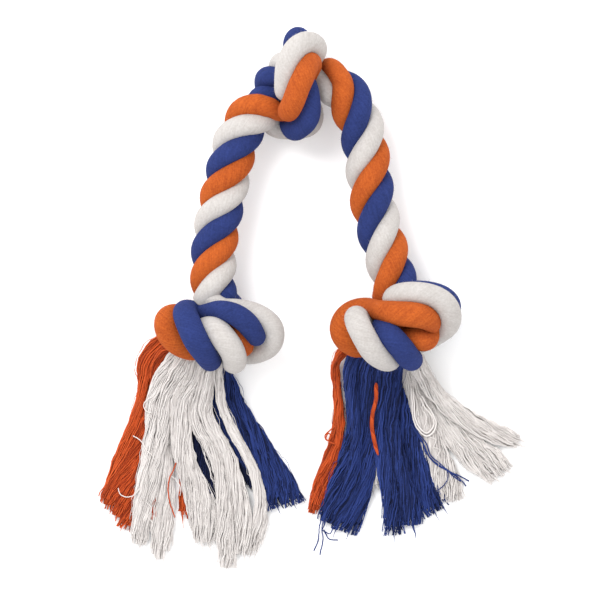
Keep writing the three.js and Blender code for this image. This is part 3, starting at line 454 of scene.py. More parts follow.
# The loose threads in millimetres: colour, radius, and places of x and y. The wisp has its places alone
LEFT_THREADS = [
    ("white", 0.30, [(-110.8, -84.9), (-107.1, -86.8), (-104.1, -90.4), (-102.2, -94.1),
        (-99.2, -96.5)]),
    ("white", 0.30, [(-99.2, -61.2), (-102.2, -63.0), (-104.1, -66.0), (-102.8, -69.7),
        (-99.8, -70.9)]),
    ("white", 0.30, [(-119.9, -116.7), (-118.7, -120.3), (-114.4, -122.2), (-110.2, -120.9),
        (-107.1, -117.3)]),
    ("orange", 0.38, [(-84.5, -101.4), (-86.4, -106.3), (-88.8, -111.8), (-89.4, -117.9),
        (-88.2, -125.8), (-85.2, -134.4)]),
    ("white", 0.28, [(-67.5, -93.5), (-66.2, -100.2), (-63.8, -105.7), (-62.6, -111.2),
        (-58.9, -113.0)]),
    ("white", 0.25, [(-82.1, -140.5), (-78.4, -147.8), (-74.2, -152.7), (-68.7, -155.1)]),
    ("white", 0.25, [(-102.8, -125.2), (-99.2, -129.5), (-101.6, -134.4), (-98.6, -138.6),
        (-100.4, -142.9)]),
    ("white", 0.25, [(-89.4, -108.1), (-84.5, -111.8), (-81.5, -117.9), (-82.7, -123.4)]),
]
RIGHT_THREADS = [
    ("blue", 0.42, [(58.8, -77.6), (61.9, -82.5), (65.5, -88.0), (68.6, -95.9), (74.7, -102.0),
        (80.8, -105.7), (88.1, -109.3), (94.2, -112.4)]),
    ("blue", 0.40, [(59.4, -79.5), (63.1, -84.9), (67.3, -91.7), (70.4, -98.4), (76.5, -103.9),
        (83.8, -107.5), (89.3, -111.8), (92.4, -115.4)]),
    ("blue", 0.38, [(60.0, -75.8), (63.7, -83.7), (68.0, -89.2), (71.0, -97.1), (75.3, -100.8),
        (81.4, -106.3), (86.9, -111.2), (90.5, -113.0)]),
    ("blue", 0.30, [(74.7, -118.5), (78.9, -114.8), (81.4, -110.6), (80.8, -106.3), (77.7, -103.2)]),
    ("white", 0.52, [(58.8, -55.7), (59.4, -64.2), (60.0, -72.7), (62.5, -80.1), (68.0, -84.9),
        (72.2, -82.5), (74.1, -77.6), (72.2, -71.5), (68.6, -66.0), (65.5, -60.5)]),
    ("white", 0.52, [(60.0, -55.7), (60.6, -64.2), (61.2, -72.7), (63.7, -79.5), (68.0, -83.1),
        (71.0, -81.3), (72.8, -77.0), (71.0, -72.1), (67.3, -67.3), (64.3, -61.8)]),
    ("white", 0.30, [(70.4, -85.6), (74.1, -87.4), (72.8, -91.7), (76.5, -93.5), (74.7, -97.1)]),
    ("white", 0.30, [(67.3, -61.8), (65.5, -67.9), (68.6, -74.0), (66.7, -79.5)]),
    ("blue", 0.36, [(4.5, -133.1), (2.7, -141.1), (2.1, -148.4), (-0.4, -155.1)]),
    ("blue", 0.36, [(7.0, -131.3), (4.5, -140.5), (5.1, -147.8), (3.3, -157.5)]),
    ("blue", 0.36, [(5.7, -142.3), (8.8, -147.8), (14.3, -148.4)]),
    ("blue", 0.34, [(4.5, -142.3), (9.4, -144.7), (11.8, -140.5), (16.7, -141.1)]),
    ("orange", 0.42, [(11.2, -80.1), (8.2, -82.5), (6.3, -84.9), (7.6, -87.4), (10.0, -86.2),
        (8.8, -83.1), (7.0, -86.2), (9.4, -88.6), (12.4, -89.8)]),
]
THREADS = {"left": LEFT_THREADS, "right": RIGHT_THREADS}
WISP = [
    (37.5, -52.6), (37.5, -56.9), (37.5, -62.4), (35.6, -70.3), (35.0, -79.5), (36.8, -89.2),
    (39.3, -97.8),
]


def unit(vectors):
    """The same directions, each of length one."""
    return vectors / np.maximum(np.linalg.norm(vectors, axis=-1, keepdims=True), LEAST_LENGTH)


def lengths_along(line):
    """How far along the line each of its points lies."""
    return np.concatenate([[0], np.cumsum(np.linalg.norm(np.diff(line, axis=0), axis=1))])


def values_at(at, along, rows):
    """The rows that are known at some places along a line, read at others."""
    return np.column_stack([np.interp(at, along, column) for column in rows.T])


def smooth_run(places, values, step):
    """Evenly spaced points along a smooth curve through the places, with the values between them."""
    pts = np.asarray(places, float)
    values = np.asarray(values, float).reshape(len(pts), -1)
    ends = np.vstack([2 * pts[0] - pts[1], pts, 2 * pts[-1] - pts[-2]])
    gaps = np.maximum(np.sqrt(np.linalg.norm(np.diff(ends, axis=0), axis=1)), LEAST_GAP)
    t = np.linspace(0, 1, CURVE_SAMPLES, endpoint=False)[:, None]
    line, mixed = [], []
    for i in range(len(pts) - 1):
        p0, p1, p2, p3 = ends[i : i + 4]
        d0, d1, d2 = gaps[i : i + 3]
        m1 = ((p1 - p0) / d0 - (p2 - p0) / (d0 + d1) + (p2 - p1) / d1) * d1
        m2 = ((p2 - p1) / d1 - (p3 - p1) / (d1 + d2) + (p3 - p2) / d2) * d1
        bend = -3 * p1 + 3 * p2 - 2 * m1 - m2
        line.append(p1 + m1 * t + bend * t**2 + (2 * p1 - 2 * p2 + m1 + m2) * t**3)
        mixed.append(values[i] * (1 - t) + values[i + 1] * t)
    line = np.vstack([*line, pts[-1:]])
    mixed = np.vstack([*mixed, values[-1:]])
    along = lengths_along(line)
    at = np.linspace(0, along[-1], max(3, round(along[-1] / step)) + 1)
    return values_at(at, along, line), values_at(at, along, mixed)


def make_arm(side):
    """The centre line of one arm of the rope, from the middle knot down to an end knot."""
    x, y, z = np.array(ARM_SHARES[side]).T
    reach, drop = ARM_REACHES[side]
    top = MIDDLE_KNOT
    places = [top[0] + x * reach, top[1] + y * drop, z * KNOT_SIZES["middle"][2]]
    line, _ = smooth_run(np.column_stack(places), np.zeros(len(x)), ARM_STEP)
    along = lengths_along(line)
    return {
        "side": side, "lay": LAYS[side], "line": line, "tangents": unit(np.gradient(line, axis=0)),
        "along": along, "length": along[-1],
        "hinges": [share * along[-1] for share in HINGE_SHARES[side]],
    }


def arm_frame(arm, s):
    """Where the centre of the rope is at s along the arm, and its three directions there."""
    s = np.atleast_1d(s)
    inside = np.clip(s, 0, arm["length"])
    centre = values_at(inside, arm["along"], arm["line"])
    tangent = unit(values_at(inside, arm["along"], arm["tangents"]))
    up = np.array([0, 0, 1.0])
    normal = unit(up - (tangent @ up)[:, None] * tangent)
    centre = centre + tangent * (s - inside)[:, None]
    return centre, tangent, normal, np.cross(tangent, normal)


def laid_strand(arm, colour, start, end, step):
    """The middle of one strand as it winds round the rope between two places on an arm."""
    count = max(2, round(abs(end - start) / step))
    s = np.linspace(start, end, count + 1)
    centre, _, normal, across = arm_frame(arm, s)
    third = FULL_TURN / 3 * (1 if arm["side"] == "left" else -1)
    phase = {"blue": 0, "white": third, "orange": -third}[colour]
    angle = FULL_TURN * (s - BLUE_UP_SHARES[arm["side"]] * arm["length"]) / arm["lay"] + phase
    return centre + ROPE_HELIX * (normal * np.cos(angle)[:, None] + across * np.sin(angle)[:, None])


def settle(runs, held_start, held_end):
    """Pulls a knot tight: passes that are too close push each other away, and each strand stays smooth."""
    points = np.vstack([points for points, _ in runs])
    radii = np.concatenate([radii[:, 0] for _, radii in runs])
    strand = np.concatenate([np.full(len(p), k) for k, (p, _) in enumerate(runs)])
    index = np.concatenate([np.arange(len(p)) for p, _ in runs])
    last = np.concatenate([np.full(len(p), len(p) - 1) for p, _ in runs])
    free = np.flatnonzero((index > held_start) & (index < last - held_end))
    own = (strand[:, None] == strand) & (abs(index[:, None] - index) < NEIGHBOUR_SAMPLES)
    reach = radii[:, None] + radii
    home = points.copy()
    for turn in range(SETTLE_ROUNDS):
        tight = min(1, FIRST_TIGHTNESS + TIGHTNESS_GAIN * turn / SETTLE_ROUNDS) * FULL_TIGHTNESS
        between = points[:, None] - points
        apart = np.linalg.norm(between, axis=2) + TOUCHING
        over = np.where(own, 0, np.maximum(reach * tight - apart, 0))
        push = (between * (over / apart / 2)[..., None]).sum(axis=1)
        points[free] += (push / np.maximum((over > 0).sum(axis=1), 1)[:, None])[free]
        middles = (points[free - 1] + points[free + 1]) / 2
        points[free] += EVENING * (middles - points[free])
        points[free] += HOMING * (home[free] - points[free])
        points[free, 2] = np.maximum(points[free, 2], radii[free] - TABLE_PRESS)
    apart = np.linalg.norm(points[:, None] - points, axis=2)
    room = np.where(own, 1, apart * radii[:, None] / reach).min(axis=1)
    shown = np.minimum(radii * KNOT_SWELL, room * CREASE_DEPTH)
    shown = np.where(index <= held_start, ROPE_STRAND, shown)
    shown = np.where(index >= last - held_end, ROPE_STRAND if held_end else shown, shown)
    settled = []
    for k in range(len(runs)):
        mine = strand == k
        soft = shown[mine]
        for _ in range(SOFTENING_ROUNDS):
            soft[1:-1] = (soft[:-2] + 2 * soft[1:-1] + soft[2:]) / 4
        settled.append((points[mine], soft))
    return settled


def bench(tree):
    """Two tools for a tree of nodes: one adds a node, the other a sum and gives back its result."""

    def put(value, socket):
        if isinstance(value, bpy.types.NodeSocket):
            tree.links.new(value, socket)
        else:
            socket.default_value = value

    def add(kind, settings=None, **inputs):
        node = tree.nodes.new(kind)
        for key, value in (settings or {}).items():
            setattr(node, key, value)
        for key, value in inputs.items():
            put(value, next(s for s in node.inputs if s.identifier == key.replace("__", " ")))
        return node

    def work(operation, *values):
        node = add("ShaderNodeMath", {"operation": operation})
        for value, socket in zip(values, node.inputs):
            put(value, socket)
        return node.outputs[0]

    return add, work


def new_tree(name, inputs):
    """An empty tree of geometry nodes with named inputs, and the tools to add nodes to it."""
    tree = bpy.data.node_groups.new(name, "GeometryNodeTree")
    tree.interface.new_socket("Geometry", in_out="INPUT", socket_type="NodeSocketGeometry")
    for label, kind in inputs:
        tree.interface.new_socket(label, in_out="INPUT", socket_type="NodeSocket" + kind)
    tree.interface.new_socket("Geometry", in_out="OUTPUT", socket_type="NodeSocketGeometry")
    return tree, tree.nodes.new("NodeGroupInput").outputs, *bench(tree)


def finish_tree(tree, add, geometry, cotton):
    """Ends a tree with one real mesh in its cotton."""
    real = add("GeometryNodeRealizeInstances", Geometry=geometry)
    coated = add("GeometryNodeSetMaterial", Geometry=real.outputs[0], Material=cotton)
    end = tree.nodes.new("NodeGroupOutput")
    tree.links.new(coated.outputs[0], end.inputs[0])
    return tree


def named(add, name, kind="FLOAT"):
    """A value that each point of the routes carries."""
    node = add("GeometryNodeInputNamedAttribute", {"data_type": kind}, Name=name)
    return node.outputs["Attribute"]


def rim_of(add, sides):
    """The round outline that a strand or a yarn has everywhere."""
    kind = "GeometryNodeCurvePrimitiveCircle"
    return add(kind, {"mode": "RADIUS"}, Resolution=sides, Radius=1.0).outputs["Curve"]


def tubes_along(add, routes, rim):
    """Tubes as thick as their routes say, with closed ends."""
    inputs = {"Curve": routes, "Profile__Curve": rim, "Scale": named(add, "thick")}
    return add("GeometryNodeCurveToMesh", **inputs, Fill__Caps=True).outputs[0]


def on_table(add, work, geometry, lowest):
    """The same shape with no point under the lowest height over the table."""
    place = add("GeometryNodeInputPosition")
    parts = add("ShaderNodeSeparateXYZ", Vector=place.outputs[0]).outputs
    above = work("MAXIMUM", parts["Z"], lowest)
    kept = add("ShaderNodeCombineXYZ", X=parts["X"], Y=parts["Y"], Z=above)
    return add("GeometryNodeSetPosition", Geometry=geometry, Position=kept.outputs[0]).outputs[0]


def strand_tree():
    """A thick strand along its route, with a thin nap of loose fibres all over it."""
    tree, sizes, add, work = new_tree(
        "laid_strand",
        [
            ("Sides", "Int"), ("Fibre Length", "Float"), ("Fibre Thickness", "Float"),
            ("Fibres Per Area", "Float"), ("Fibre Seed", "Int"), ("Cotton", "Material"),
        ],
    )
    route = add("GeometryNodeMeshToCurve", Mesh=sizes["Geometry"])
    place = add("GeometryNodeInputPosition")
    rim = add(
        "GeometryNodeStoreNamedAttribute", {"data_type": "FLOAT_VECTOR", "domain": "POINT"},
        Geometry=rim_of(add, sizes["Sides"]), Name="round", Value=place.outputs[0],
    )
    tube = tubes_along(add, route.outputs[0], rim.outputs[0])
    corners = add("GeometryNodeInputMeshFaceNeighbors")
    side = add(
        "FunctionNodeCompare", {"data_type": "INT", "operation": "LESS_EQUAL"},
        A_INT=corners.outputs["Vertex Count"], B_INT=4,
    )
    skin = add("GeometryNodeSetShadeSmooth", Geometry=tube, Selection=side.outputs[0])
    spread = add(
        "GeometryNodeDistributePointsOnFaces", {"distribute_method": "RANDOM"}, Mesh=skin.outputs[0],
        Selection=side.outputs[0], Density=sizes["Fibres Per Area"], Seed=sizes["Fibre Seed"],
    )
    fibre = add(
        "GeometryNodeMeshCone", {"fill_type": "NONE"}, Vertices=3, Side__Segments=2,
        Radius__Bottom=sizes["Fibre Thickness"], Radius__Top=0.0, Depth=sizes["Fibre Length"],
    )
    height = add("ShaderNodeSeparateXYZ", Vector=place.outputs[0]).outputs["Z"]
    curl = work("MULTIPLY", work("DIVIDE", height, sizes["Fibre Length"]), height)
    sideways = add("ShaderNodeCombineXYZ", X=curl)
    bent = add("GeometryNodeSetPosition", Geometry=fibre.outputs[0], Offset=sideways.outputs[0])
    lean = add(
        "FunctionNodeRandomValue", {"data_type": "FLOAT_VECTOR"}, Min=(-FIBRE_LEAN, -FIBRE_LEAN, 0.0),
        Max=(FIBRE_LEAN, FIBRE_LEAN, FIBRE_TURN), Seed=sizes["Fibre Seed"],
    )
    lean_turn = add("FunctionNodeEulerToRotation", Euler=lean.outputs[0])
    turned = add(
        "FunctionNodeRotateRotation", {"rotation_space": "LOCAL"}, Rotation=spread.outputs["Rotation"],
        Rotate__By=lean_turn.outputs[0],
    )
    least, most = FIBRE_SIZES
    size = add("FunctionNodeRandomValue", {"data_type": "FLOAT"}, Min_001=least, Max_001=most)
    nap = add(
        "GeometryNodeInstanceOnPoints", Points=spread.outputs["Points"], Instance=bent.outputs[0],
        Rotation=turned.outputs[0], Scale=size.outputs[1],
    )
    both = add("GeometryNodeJoinGeometry")
    tree.links.new(nap.outputs[0], both.inputs[0])
    tree.links.new(skin.outputs[0], both.inputs[0])
    whole = add("GeometryNodeRealizeInstances", Geometry=both.outputs[0])
    pressed = on_table(add, work, whole.outputs[0], 0.0)
    return finish_tree(tree, add, pressed, sizes["Cotton"])


def yarn_tree():
    """Fine crimped yarns along their routes, cut to ragged lengths."""
    tree, sizes, add, work = new_tree(
        "frayed_yarns",
        [
            ("Sides", "Int"), ("Crimp Height", "Float"), ("Crimps Per Length", "Float"),
            ("Stray Height", "Float"), ("Ragged Share", "Float"), ("Seed", "Int"),
            ("Cotton", "Material"),
        ],
    )

    def wave(**inputs):
        node = add("ShaderNodeTexNoise", {"noise_dimensions": "3D", "normalize": False}, **inputs)
        return node.outputs["Color"]

    def vectors(operation, **inputs):
        return add("ShaderNodeVectorMath", {"operation": operation}, **inputs).outputs[0]

    route = add("GeometryNodeMeshToCurve", Mesh=sizes["Geometry"])
    run = named(add, "run")
    yarn = named(add, "yarn", "INT")
    chance = add(
        "FunctionNodeRandomValue", {"data_type": "FLOAT"}, Min_001=0.0, Max_001=1.0, ID=yarn,
        Seed=sizes["Seed"],
    )
    short = work("MULTIPLY", work("POWER", chance.outputs[1], CUT_POWER), sizes["Ragged Share"])
    past = add(
        "FunctionNodeCompare", {"data_type": "FLOAT", "operation": "GREATER_THAN"},
        A=work("ADD", short, run), B=1.0,
    )
    trimmed = add(
        "GeometryNodeDeleteGeometry", {"domain": "POINT"}, Geometry=route.outputs[0],
        Selection=past.outputs[0],
    )
    place = add("GeometryNodeInputPosition")
    crimp = wave(Vector=place.outputs[0], Scale=sizes["Crimps Per Length"], **CRIMP_WAVE)
    shared = vectors("SCALE", Vector=crimp, Scale=sizes["Crimp Height"])
    own = add("ShaderNodeCombineXYZ", X=yarn, Y=run, Z=yarn).outputs[0]
    sway = wave(Vector=vectors("MULTIPLY", Vector=own, Vector_001=STRAY_PACE), **STRAY_WAVE)
    single = vectors("SCALE", Vector=sway, Scale=sizes["Stray Height"])
    loose = vectors("SCALE", Vector=single, Scale=named(add, "loose"))
    offset = vectors("ADD", Vector=shared, Vector_001=loose)
    crimped = add("GeometryNodeSetPosition", Geometry=trimmed.outputs[0], Offset=offset)
    laid = on_table(add, work, crimped.outputs[0], named(add, "thick"))
    tubes = tubes_along(add, laid, rim_of(add, sizes["Sides"]))
    soft = add("GeometryNodeSetShadeSmooth", Geometry=tubes)
    return finish_tree(tree, add, soft.outputs[0], sizes["Cotton"])


def add_object(name, data):
    """Puts a piece, the camera or a lamp into the scene."""
    made = bpy.data.objects.new(name, data)
    bpy.context.scene.collection.objects.link(made)
    return made


def grow(name, tree, routes, values, settings):
    """Runs a tree of nodes over routes, and keeps the result as a plain mesh."""
    edges = []
    first = 0
    for route in routes:
        edges += [(i, i + 1) for i in range(first, first + len(route) - 1)]
        first += len(route)
    mesh = bpy.data.meshes.new(name + "_routes")
    mesh.from_pydata(np.vstack(routes).tolist(), edges, [])
    for label, (kind, data) in values.items():
        mesh.attributes.new(label, kind, "POINT").data.foreach_set("value", data)
    guide = add_object(name + "_routes", mesh)
    modifier = guide.modifiers.new("grow", "NODES")
    modifier.node_group = tree
    sockets = {
        item.name: item.identifier
        for item in tree.interface.items_tree
        if item.item_type == "SOCKET" and item.in_out == "INPUT"
    }
    for label, value in settings.items():
        modifier[sockets[label]] = value
    graph = bpy.context.evaluated_depsgraph_get()
    made = bpy.data.meshes.new_from_object(
        guide.evaluated_get(graph), preserve_all_data_layers=True, depsgraph=graph
    )
    bpy.data.objects.remove(guide)
    bpy.data.meshes.remove(mesh)
    made.name = name
    return add_object(name, made)


def dress_strand(name, points, radii, colour, seed, ways=(None, None)):
    """One thick strand of the rope, with a short lap that sets its last rings square to its way there."""
    first, last = ways
    if first is None:
        first = unit(-3 * points[0] + 4 * points[1] - points[2])
    if last is None:
        last = unit(3 * points[-1] - 4 * points[-2] + points[-3])
    points = np.vstack([points[0] - first * SEAM_LAP, points, points[-1] + last * SEAM_LAP])
    radii = np.concatenate([radii[:1], radii, radii[-1:]])
    values = {
        "thick": ("FLOAT", radii.astype(np.float32)),
        "run": ("FLOAT", lengths_along(points).astype(np.float32)),
    }
    settings = {
        "Sides": STRAND_SIDES, "Fibre Length": FIBRE_LENGTH, "Fibre Thickness": FIBRE_THICKNESS,
        "Fibres Per Area": FIBRES_PER_AREA, "Fibre Seed": seed, "Cotton": COTTONS[colour + "_strand"],
    }
    return grow(name, TREES["strand"], [points], values, settings)


def dress_yarns(name, colour, yarns, make, seed):
    """Fine yarns. Each has its route, and along that its thickness, run, shade and looseness."""
    routes = [route for route, *_ in yarns]
    values = {}
    for k, label in enumerate(("thick", "run", "shade", "loose"), start=1):
        rows = [np.broadcast_to(yarn[k], len(yarn[0])) for yarn in yarns]
        values[label] = ("FLOAT", np.concatenate(rows).astype(np.float32))
    index = np.repeat(np.arange(len(routes)), [len(route) for route in routes])
    values["yarn"] = ("INT", index.astype(np.int32))
    settings = {
        **make, "Crimps Per Length": CRIMPS_PER_LENGTH, "Seed": seed,
        "Cotton": COTTONS[colour + "_yarn"],
    }
    return grow(name, TREES["yarns"], routes, values, settings)


def linear(red, green, blue):
    """A colour as a screen shows it, as the share of light that it gives back, by the sRGB rule."""
    return tuple(
        c / 12.92 if c <= 0.04045 else ((c + 0.055) / 1.055) ** 2.4
        for c in (red / 255, green / 255, blue / 255)
    )


def new_surface(name, finish):
    """A material whose shader has the numbers and colours of its finish."""
    material = bpy.data.materials.new(name)
    material.use_nodes = True
    shader = material.node_tree.nodes["Principled BSDF"]
    for label, value in finish.items():
        shader.inputs[label].default_value = value
    return material


def new_cotton(name, colour, finish, colours):
    """A soft material, its light and dark colour, and the tools to add to its nodes."""
    light, dark = ((*linear(*seen), 1) for seen in colours[colour])
    soft = {"Sheen Weight": SHEEN[colour], "Sheen Tint": light}
    material = new_surface(name, {**finish, **soft})
    return material, light, dark, *bench(material.node_tree)


def finish_cotton(material, light, dark, tone, relief):
    """Gives a cotton material its relief, and its colour from dark to light by its tone."""
    add, _ = bench(material.node_tree)
    mix = add("ShaderNodeMix", {"data_type": "RGBA"}, Factor_Float=tone, A_Color=dark, B_Color=light)
    shader = material.node_tree.nodes["Principled BSDF"]
    material.node_tree.links.new(mix.outputs[2], shader.inputs["Base Color"])
    material.node_tree.links.new(relief.outputs[0], shader.inputs["Normal"])
    return material


def cotton_felt(colour):
    """The soft twisted cotton of a thick strand: fine yarns that wind round it, under a felted nap."""
    material, light, dark, add, work = new_cotton(
        colour + "_felted_strand", colour, FELT_FINISH, STRAND_COLOURS
    )
    coordinates = add("ShaderNodeTexCoord").outputs["Object"]

    def noise(grain, places=coordinates):
        return add("ShaderNodeTexNoise", Vector=places, **grain).outputs["Fac"]

    rim = add("ShaderNodeAttribute", {"attribute_name": "round"}).outputs["Vector"]
    run = add("ShaderNodeAttribute", {"attribute_name": "run"}).outputs["Fac"]
    split = add("ShaderNodeSeparateXYZ", Vector=rim).outputs
    twist = work("MULTIPLY_ADD", run, FULL_TURN / YARN_PITCH, work("ARCTAN2", split["Y"], split["X"]))
    wound = add(
        "ShaderNodeCombineXYZ", X=work("MULTIPLY", work("COSINE", twist), YARN_GRAIN),
        Y=work("MULTIPLY", work("SINE", twist), YARN_GRAIN), Z=work("MULTIPLY", run, YARN_STRETCH),
    )
    yarns = noise(WOUND_NOISE, wound.outputs[0])
    lumps = noise(LUMP_NOISE)
    coarse = work("MULTIPLY", work("ADD", yarns, lumps), COARSE_RELIEF)
    height = work("MULTIPLY_ADD", noise(FINE_NOISE), FINE_RELIEF, coarse)
    relief = add("ShaderNodeBump", Height=height, **FELT_BUMP)
    tone = work("MULTIPLY_ADD", yarns, WOUND_TONE, DARKENING)
    tone = work("MULTIPLY_ADD", noise(BROAD_NOISE), BROAD_TONE, tone)
    tone = work("MULTIPLY_ADD", lumps, LUMP_TONE, tone)
    return finish_cotton(material, light, dark, tone, relief)


def cotton_yarn(colour):
    """Frayed cotton yarn: each yarn a little lighter or darker by its shade, which also holds the painted
    shade of a lock under the rest, with a fine grain of fibres.
    """
    material, light, dark, add, work = new_cotton(
        colour + "_frayed_yarn", colour, YARN_FINISH, YARN_COLOURS
    )
    coordinates = add("ShaderNodeTexCoord").outputs["Object"]
    shade = add("ShaderNodeAttribute", {"attribute_name": "shade"}).outputs["Fac"]
    grain = add("ShaderNodeTexNoise", Vector=coordinates, **FIBRE_NOISE).outputs["Fac"]
    relief = add("ShaderNodeBump", Height=grain, **YARN_BUMP)
    tone = work("MULTIPLY_ADD", grain, FIBRE_TONE, shade)
    return finish_cotton(material, light, dark, tone, relief)


def set_camera():
    """Straight above the toy as it lies on the table."""
    lens = bpy.data.cameras.new("camera")
    lens.type = "ORTHO"
    lens.ortho_scale = VIEW_WIDTH
    camera = add_object("camera", lens)
    camera.location = VIEW_PLACE
    bpy.context.scene.camera = camera


def set_light():
    """An even pale sky, and one wide lamp from the upper left."""
    bpy.context.scene.view_settings.view_transform = "Standard"
    world = bpy.data.worlds.new("studio")
    world.use_nodes = True
    sky = world.node_tree.nodes["Background"]
    sky.inputs["Color"].default_value = (1, 1, 1, 1)
    sky.inputs["Strength"].default_value = SKY
    bpy.context.scene.world = world
    light = bpy.data.lights.new("key", "AREA")
    light.shape = "DISK"
    light.size = LAMP_SIZE
    light.energy = LAMP_POWER
    lamp = add_object("key", light)
    lamp.location = LAMP_PLACE
    lamp.rotation_mode = "QUATERNION"
    lamp.rotation_quaternion = (-Vector(LAMP_PLACE)).to_track_quat("-Z", "Y")


def lay_floor():
    """The plain pale table under the toy."""
    mesh = bpy.data.meshes.new("floor")
    corners = [(x * FLOOR_HALF, y * FLOOR_HALF, 0) for x, y in ((-1, -1), (1, -1), (1, 1), (-1, 1))]
    mesh.from_pydata(corners, [], [(0, 1, 2, 3)])
    mesh.materials.append(new_surface("pale_floor", FLOOR_PAINT))
    add_object("floor", mesh)


def dress_arm(side):
    """The three strands of one arm, each in three pieces that meet between the hinges."""
    arm = ARMS[side]
    top, bend, end = arm["hinges"]
    seams = [top - TOP_OVERLAP, (top + bend) / 2, (bend + end) / 2, end + ARM_OVERLAP]
    stands_for = {"neck": "upper", "bend": "lower", "collar": None}
    for k, colour in enumerate(COLOURS):
        for i, (part, half) in enumerate(stands_for.items()):
            points = laid_strand(arm, colour, seams[i], seams[i + 1], STRAND_STEP)
            radii = np.full(len(points), ROPE_STRAND)
            seed = ARM_SEEDS * k + i + len(side)
            piece = dress_strand(f"{side}_{part}_{colour}_strand", points, radii, colour, seed)
            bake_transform(piece)
            if half:
                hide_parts(f"{side}_{half}_arm_{colour}_strand")


def stub(side, colour, hinge, inner):
    """The strand between an arm's hinge and the knot."""
    arm = ARMS[side]
    start = arm["hinges"][hinge]
    count = max(2, round(SAMPLES_PER_LAY * abs(inner - start) / arm["lay"]))
    return laid_strand(arm, colour, start, inner, abs(inner - start) / count)


def seam(side, colour, hinge, past):
    """Where a knot's strand takes over from its arm's, with a lead from the arm and its way there."""
    arm = ARMS[side]
    start = arm["hinges"][hinge]
    outward = KNOT_STEP if hinge == 0 else -KNOT_STEP
    lead = laid_strand(arm, colour, start + 2 * outward, start + outward, KNOT_STEP)[[0, -1]]
    s = start + past
    here, beside = laid_strand(arm, colour, s, s + WAY_SHARE * outward, KNOT_STEP)[[0, -1]]
    return lead, here, unit(here - beside)


def knot_route(knot, colour, before, after):
    """One strand of a knot, from its arm through the knot's own places and on into the next arm."""
    place, size = KNOT_PLACES[knot], KNOT_SIZES[knot]
    x, y, z, fullness = np.array(KNOT_SHARES[knot][colour]).T
    laid = np.column_stack([place[0] + x * size[0] / 2, place[1] + y * size[1] / 2, z * size[2]])
    arm_radii = [np.full(len(end), LAID_STRAND) for end in (before, after)]
    radii = np.concatenate([arm_radii[0], fullness * KNOT_STRAND, arm_radii[1]])
    return smooth_run(np.vstack([before, laid, after]), radii, KNOT_STEP)


def cut_before(points, values, place):
    """The run from its sample nearest to the place, which then starts exactly there."""
    near = np.argmin(np.linalg.norm(points[: len(points) // 3] - place, axis=1))
    points, values = points[near:].copy(), values[near:]
    points[0] = place
    return points, values


def dress_knot(knot, routes, first_seams, last_seams):
    """The three strands of a knot, pulled tight together."""
    body = f"{knot}_knot"
    held = HELD_SAMPLES[knot]
    settled = settle([routes[colour] for colour in SETTLE_ORDER], held, held if last_seams else 0)
    for k, (colour, (points, radii)) in enumerate(zip(SETTLE_ORDER, settled)):
        lead_in, first, start_way = first_seams[colour]
        end_way = None
        points = np.vstack([lead_in, points])
        radii = np.concatenate([np.full(len(lead_in), ROPE_STRAND), radii])
        if last_seams:
            lead_out, last, way_back = last_seams[colour]
            end_way = -way_back
            points = np.vstack([points, lead_out[::-1]])
            radii = np.concatenate([radii, np.full(len(lead_out), ROPE_STRAND)])
        points, radii = smooth_run(points, radii, STRAND_STEP)
        points, radii = cut_before(points, radii, first)
        if last_seams:
            points, radii = cut_before(points[::-1], radii[::-1], last)
            points, radii = points[::-1], radii[::-1]
        name, seed, ways = f"{body}_{colour}_wrap", KNOT_SEEDS + k, (start_way, end_way)
        piece = dress_strand(name, points, radii[:, 0], colour, seed, ways)
        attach(piece, body)
        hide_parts(f"{body}_{colour}_strand")


def dress_middle_knot():
    """The knot at the bend, whose strands go on into both arms."""
    routes, first, last = {}, {}, {}
    for colour in COLOURS:
        before, after = (stub(side, colour, 0, ARMS[side]["hinges"][0] - STUB_REACH) for side in SIDES)
        routes[colour] = knot_route("middle", colour, before, after[::-1])
        first[colour] = seam("left", colour, 0, -TOP_OVERLAP)
        last[colour] = seam("right", colour, 0, -TOP_OVERLAP)
    dress_knot("middle", routes, first, last)


def dress_end_knot(side):
    """The knot at the end of an arm, whose strands end inside it."""
    routes, first = {}, {}
    for colour in COLOURS:
        before = stub(side, colour, 2, ARMS[side]["length"])
        routes[colour] = knot_route(side, colour, before, np.zeros((0, 3)))
        first[colour] = seam(side, colour, 2, ARM_OVERLAP)
    dress_knot(side, routes, first, None)


def lock_line(rows):
    """The middle of a lock on the table, half its width and the way across it, to its ragged tip."""
    table = np.array(rows, float) * MM
    onward = table[-1, :2] - table[-2, :2]
    tip = table[-1, :2] + onward * FRINGE / np.linalg.norm(onward)
    table = np.vstack([table, [*tip, table[-1, 2]]])
    path = np.column_stack([table[:, :2], np.zeros(len(table))])
    centre, width = smooth_run(path, table[:, 2], LOCK_STEP)
    steps = max(FEWEST_STEPS, round(len(centre) * LOCK_STEP / YARN_STEP))
    at = np.linspace(0, 1, steps + 1) * (len(centre) - 1)
    index = np.arange(len(centre))
    line = values_at(at, index, centre)
    half = values_at(at, index, width)[:, 0] / 2
    tangent = unit(np.gradient(line, axis=0))
    return line, half, np.column_stack([-tangent[:, 1], tangent[:, 0], np.zeros(len(line))])


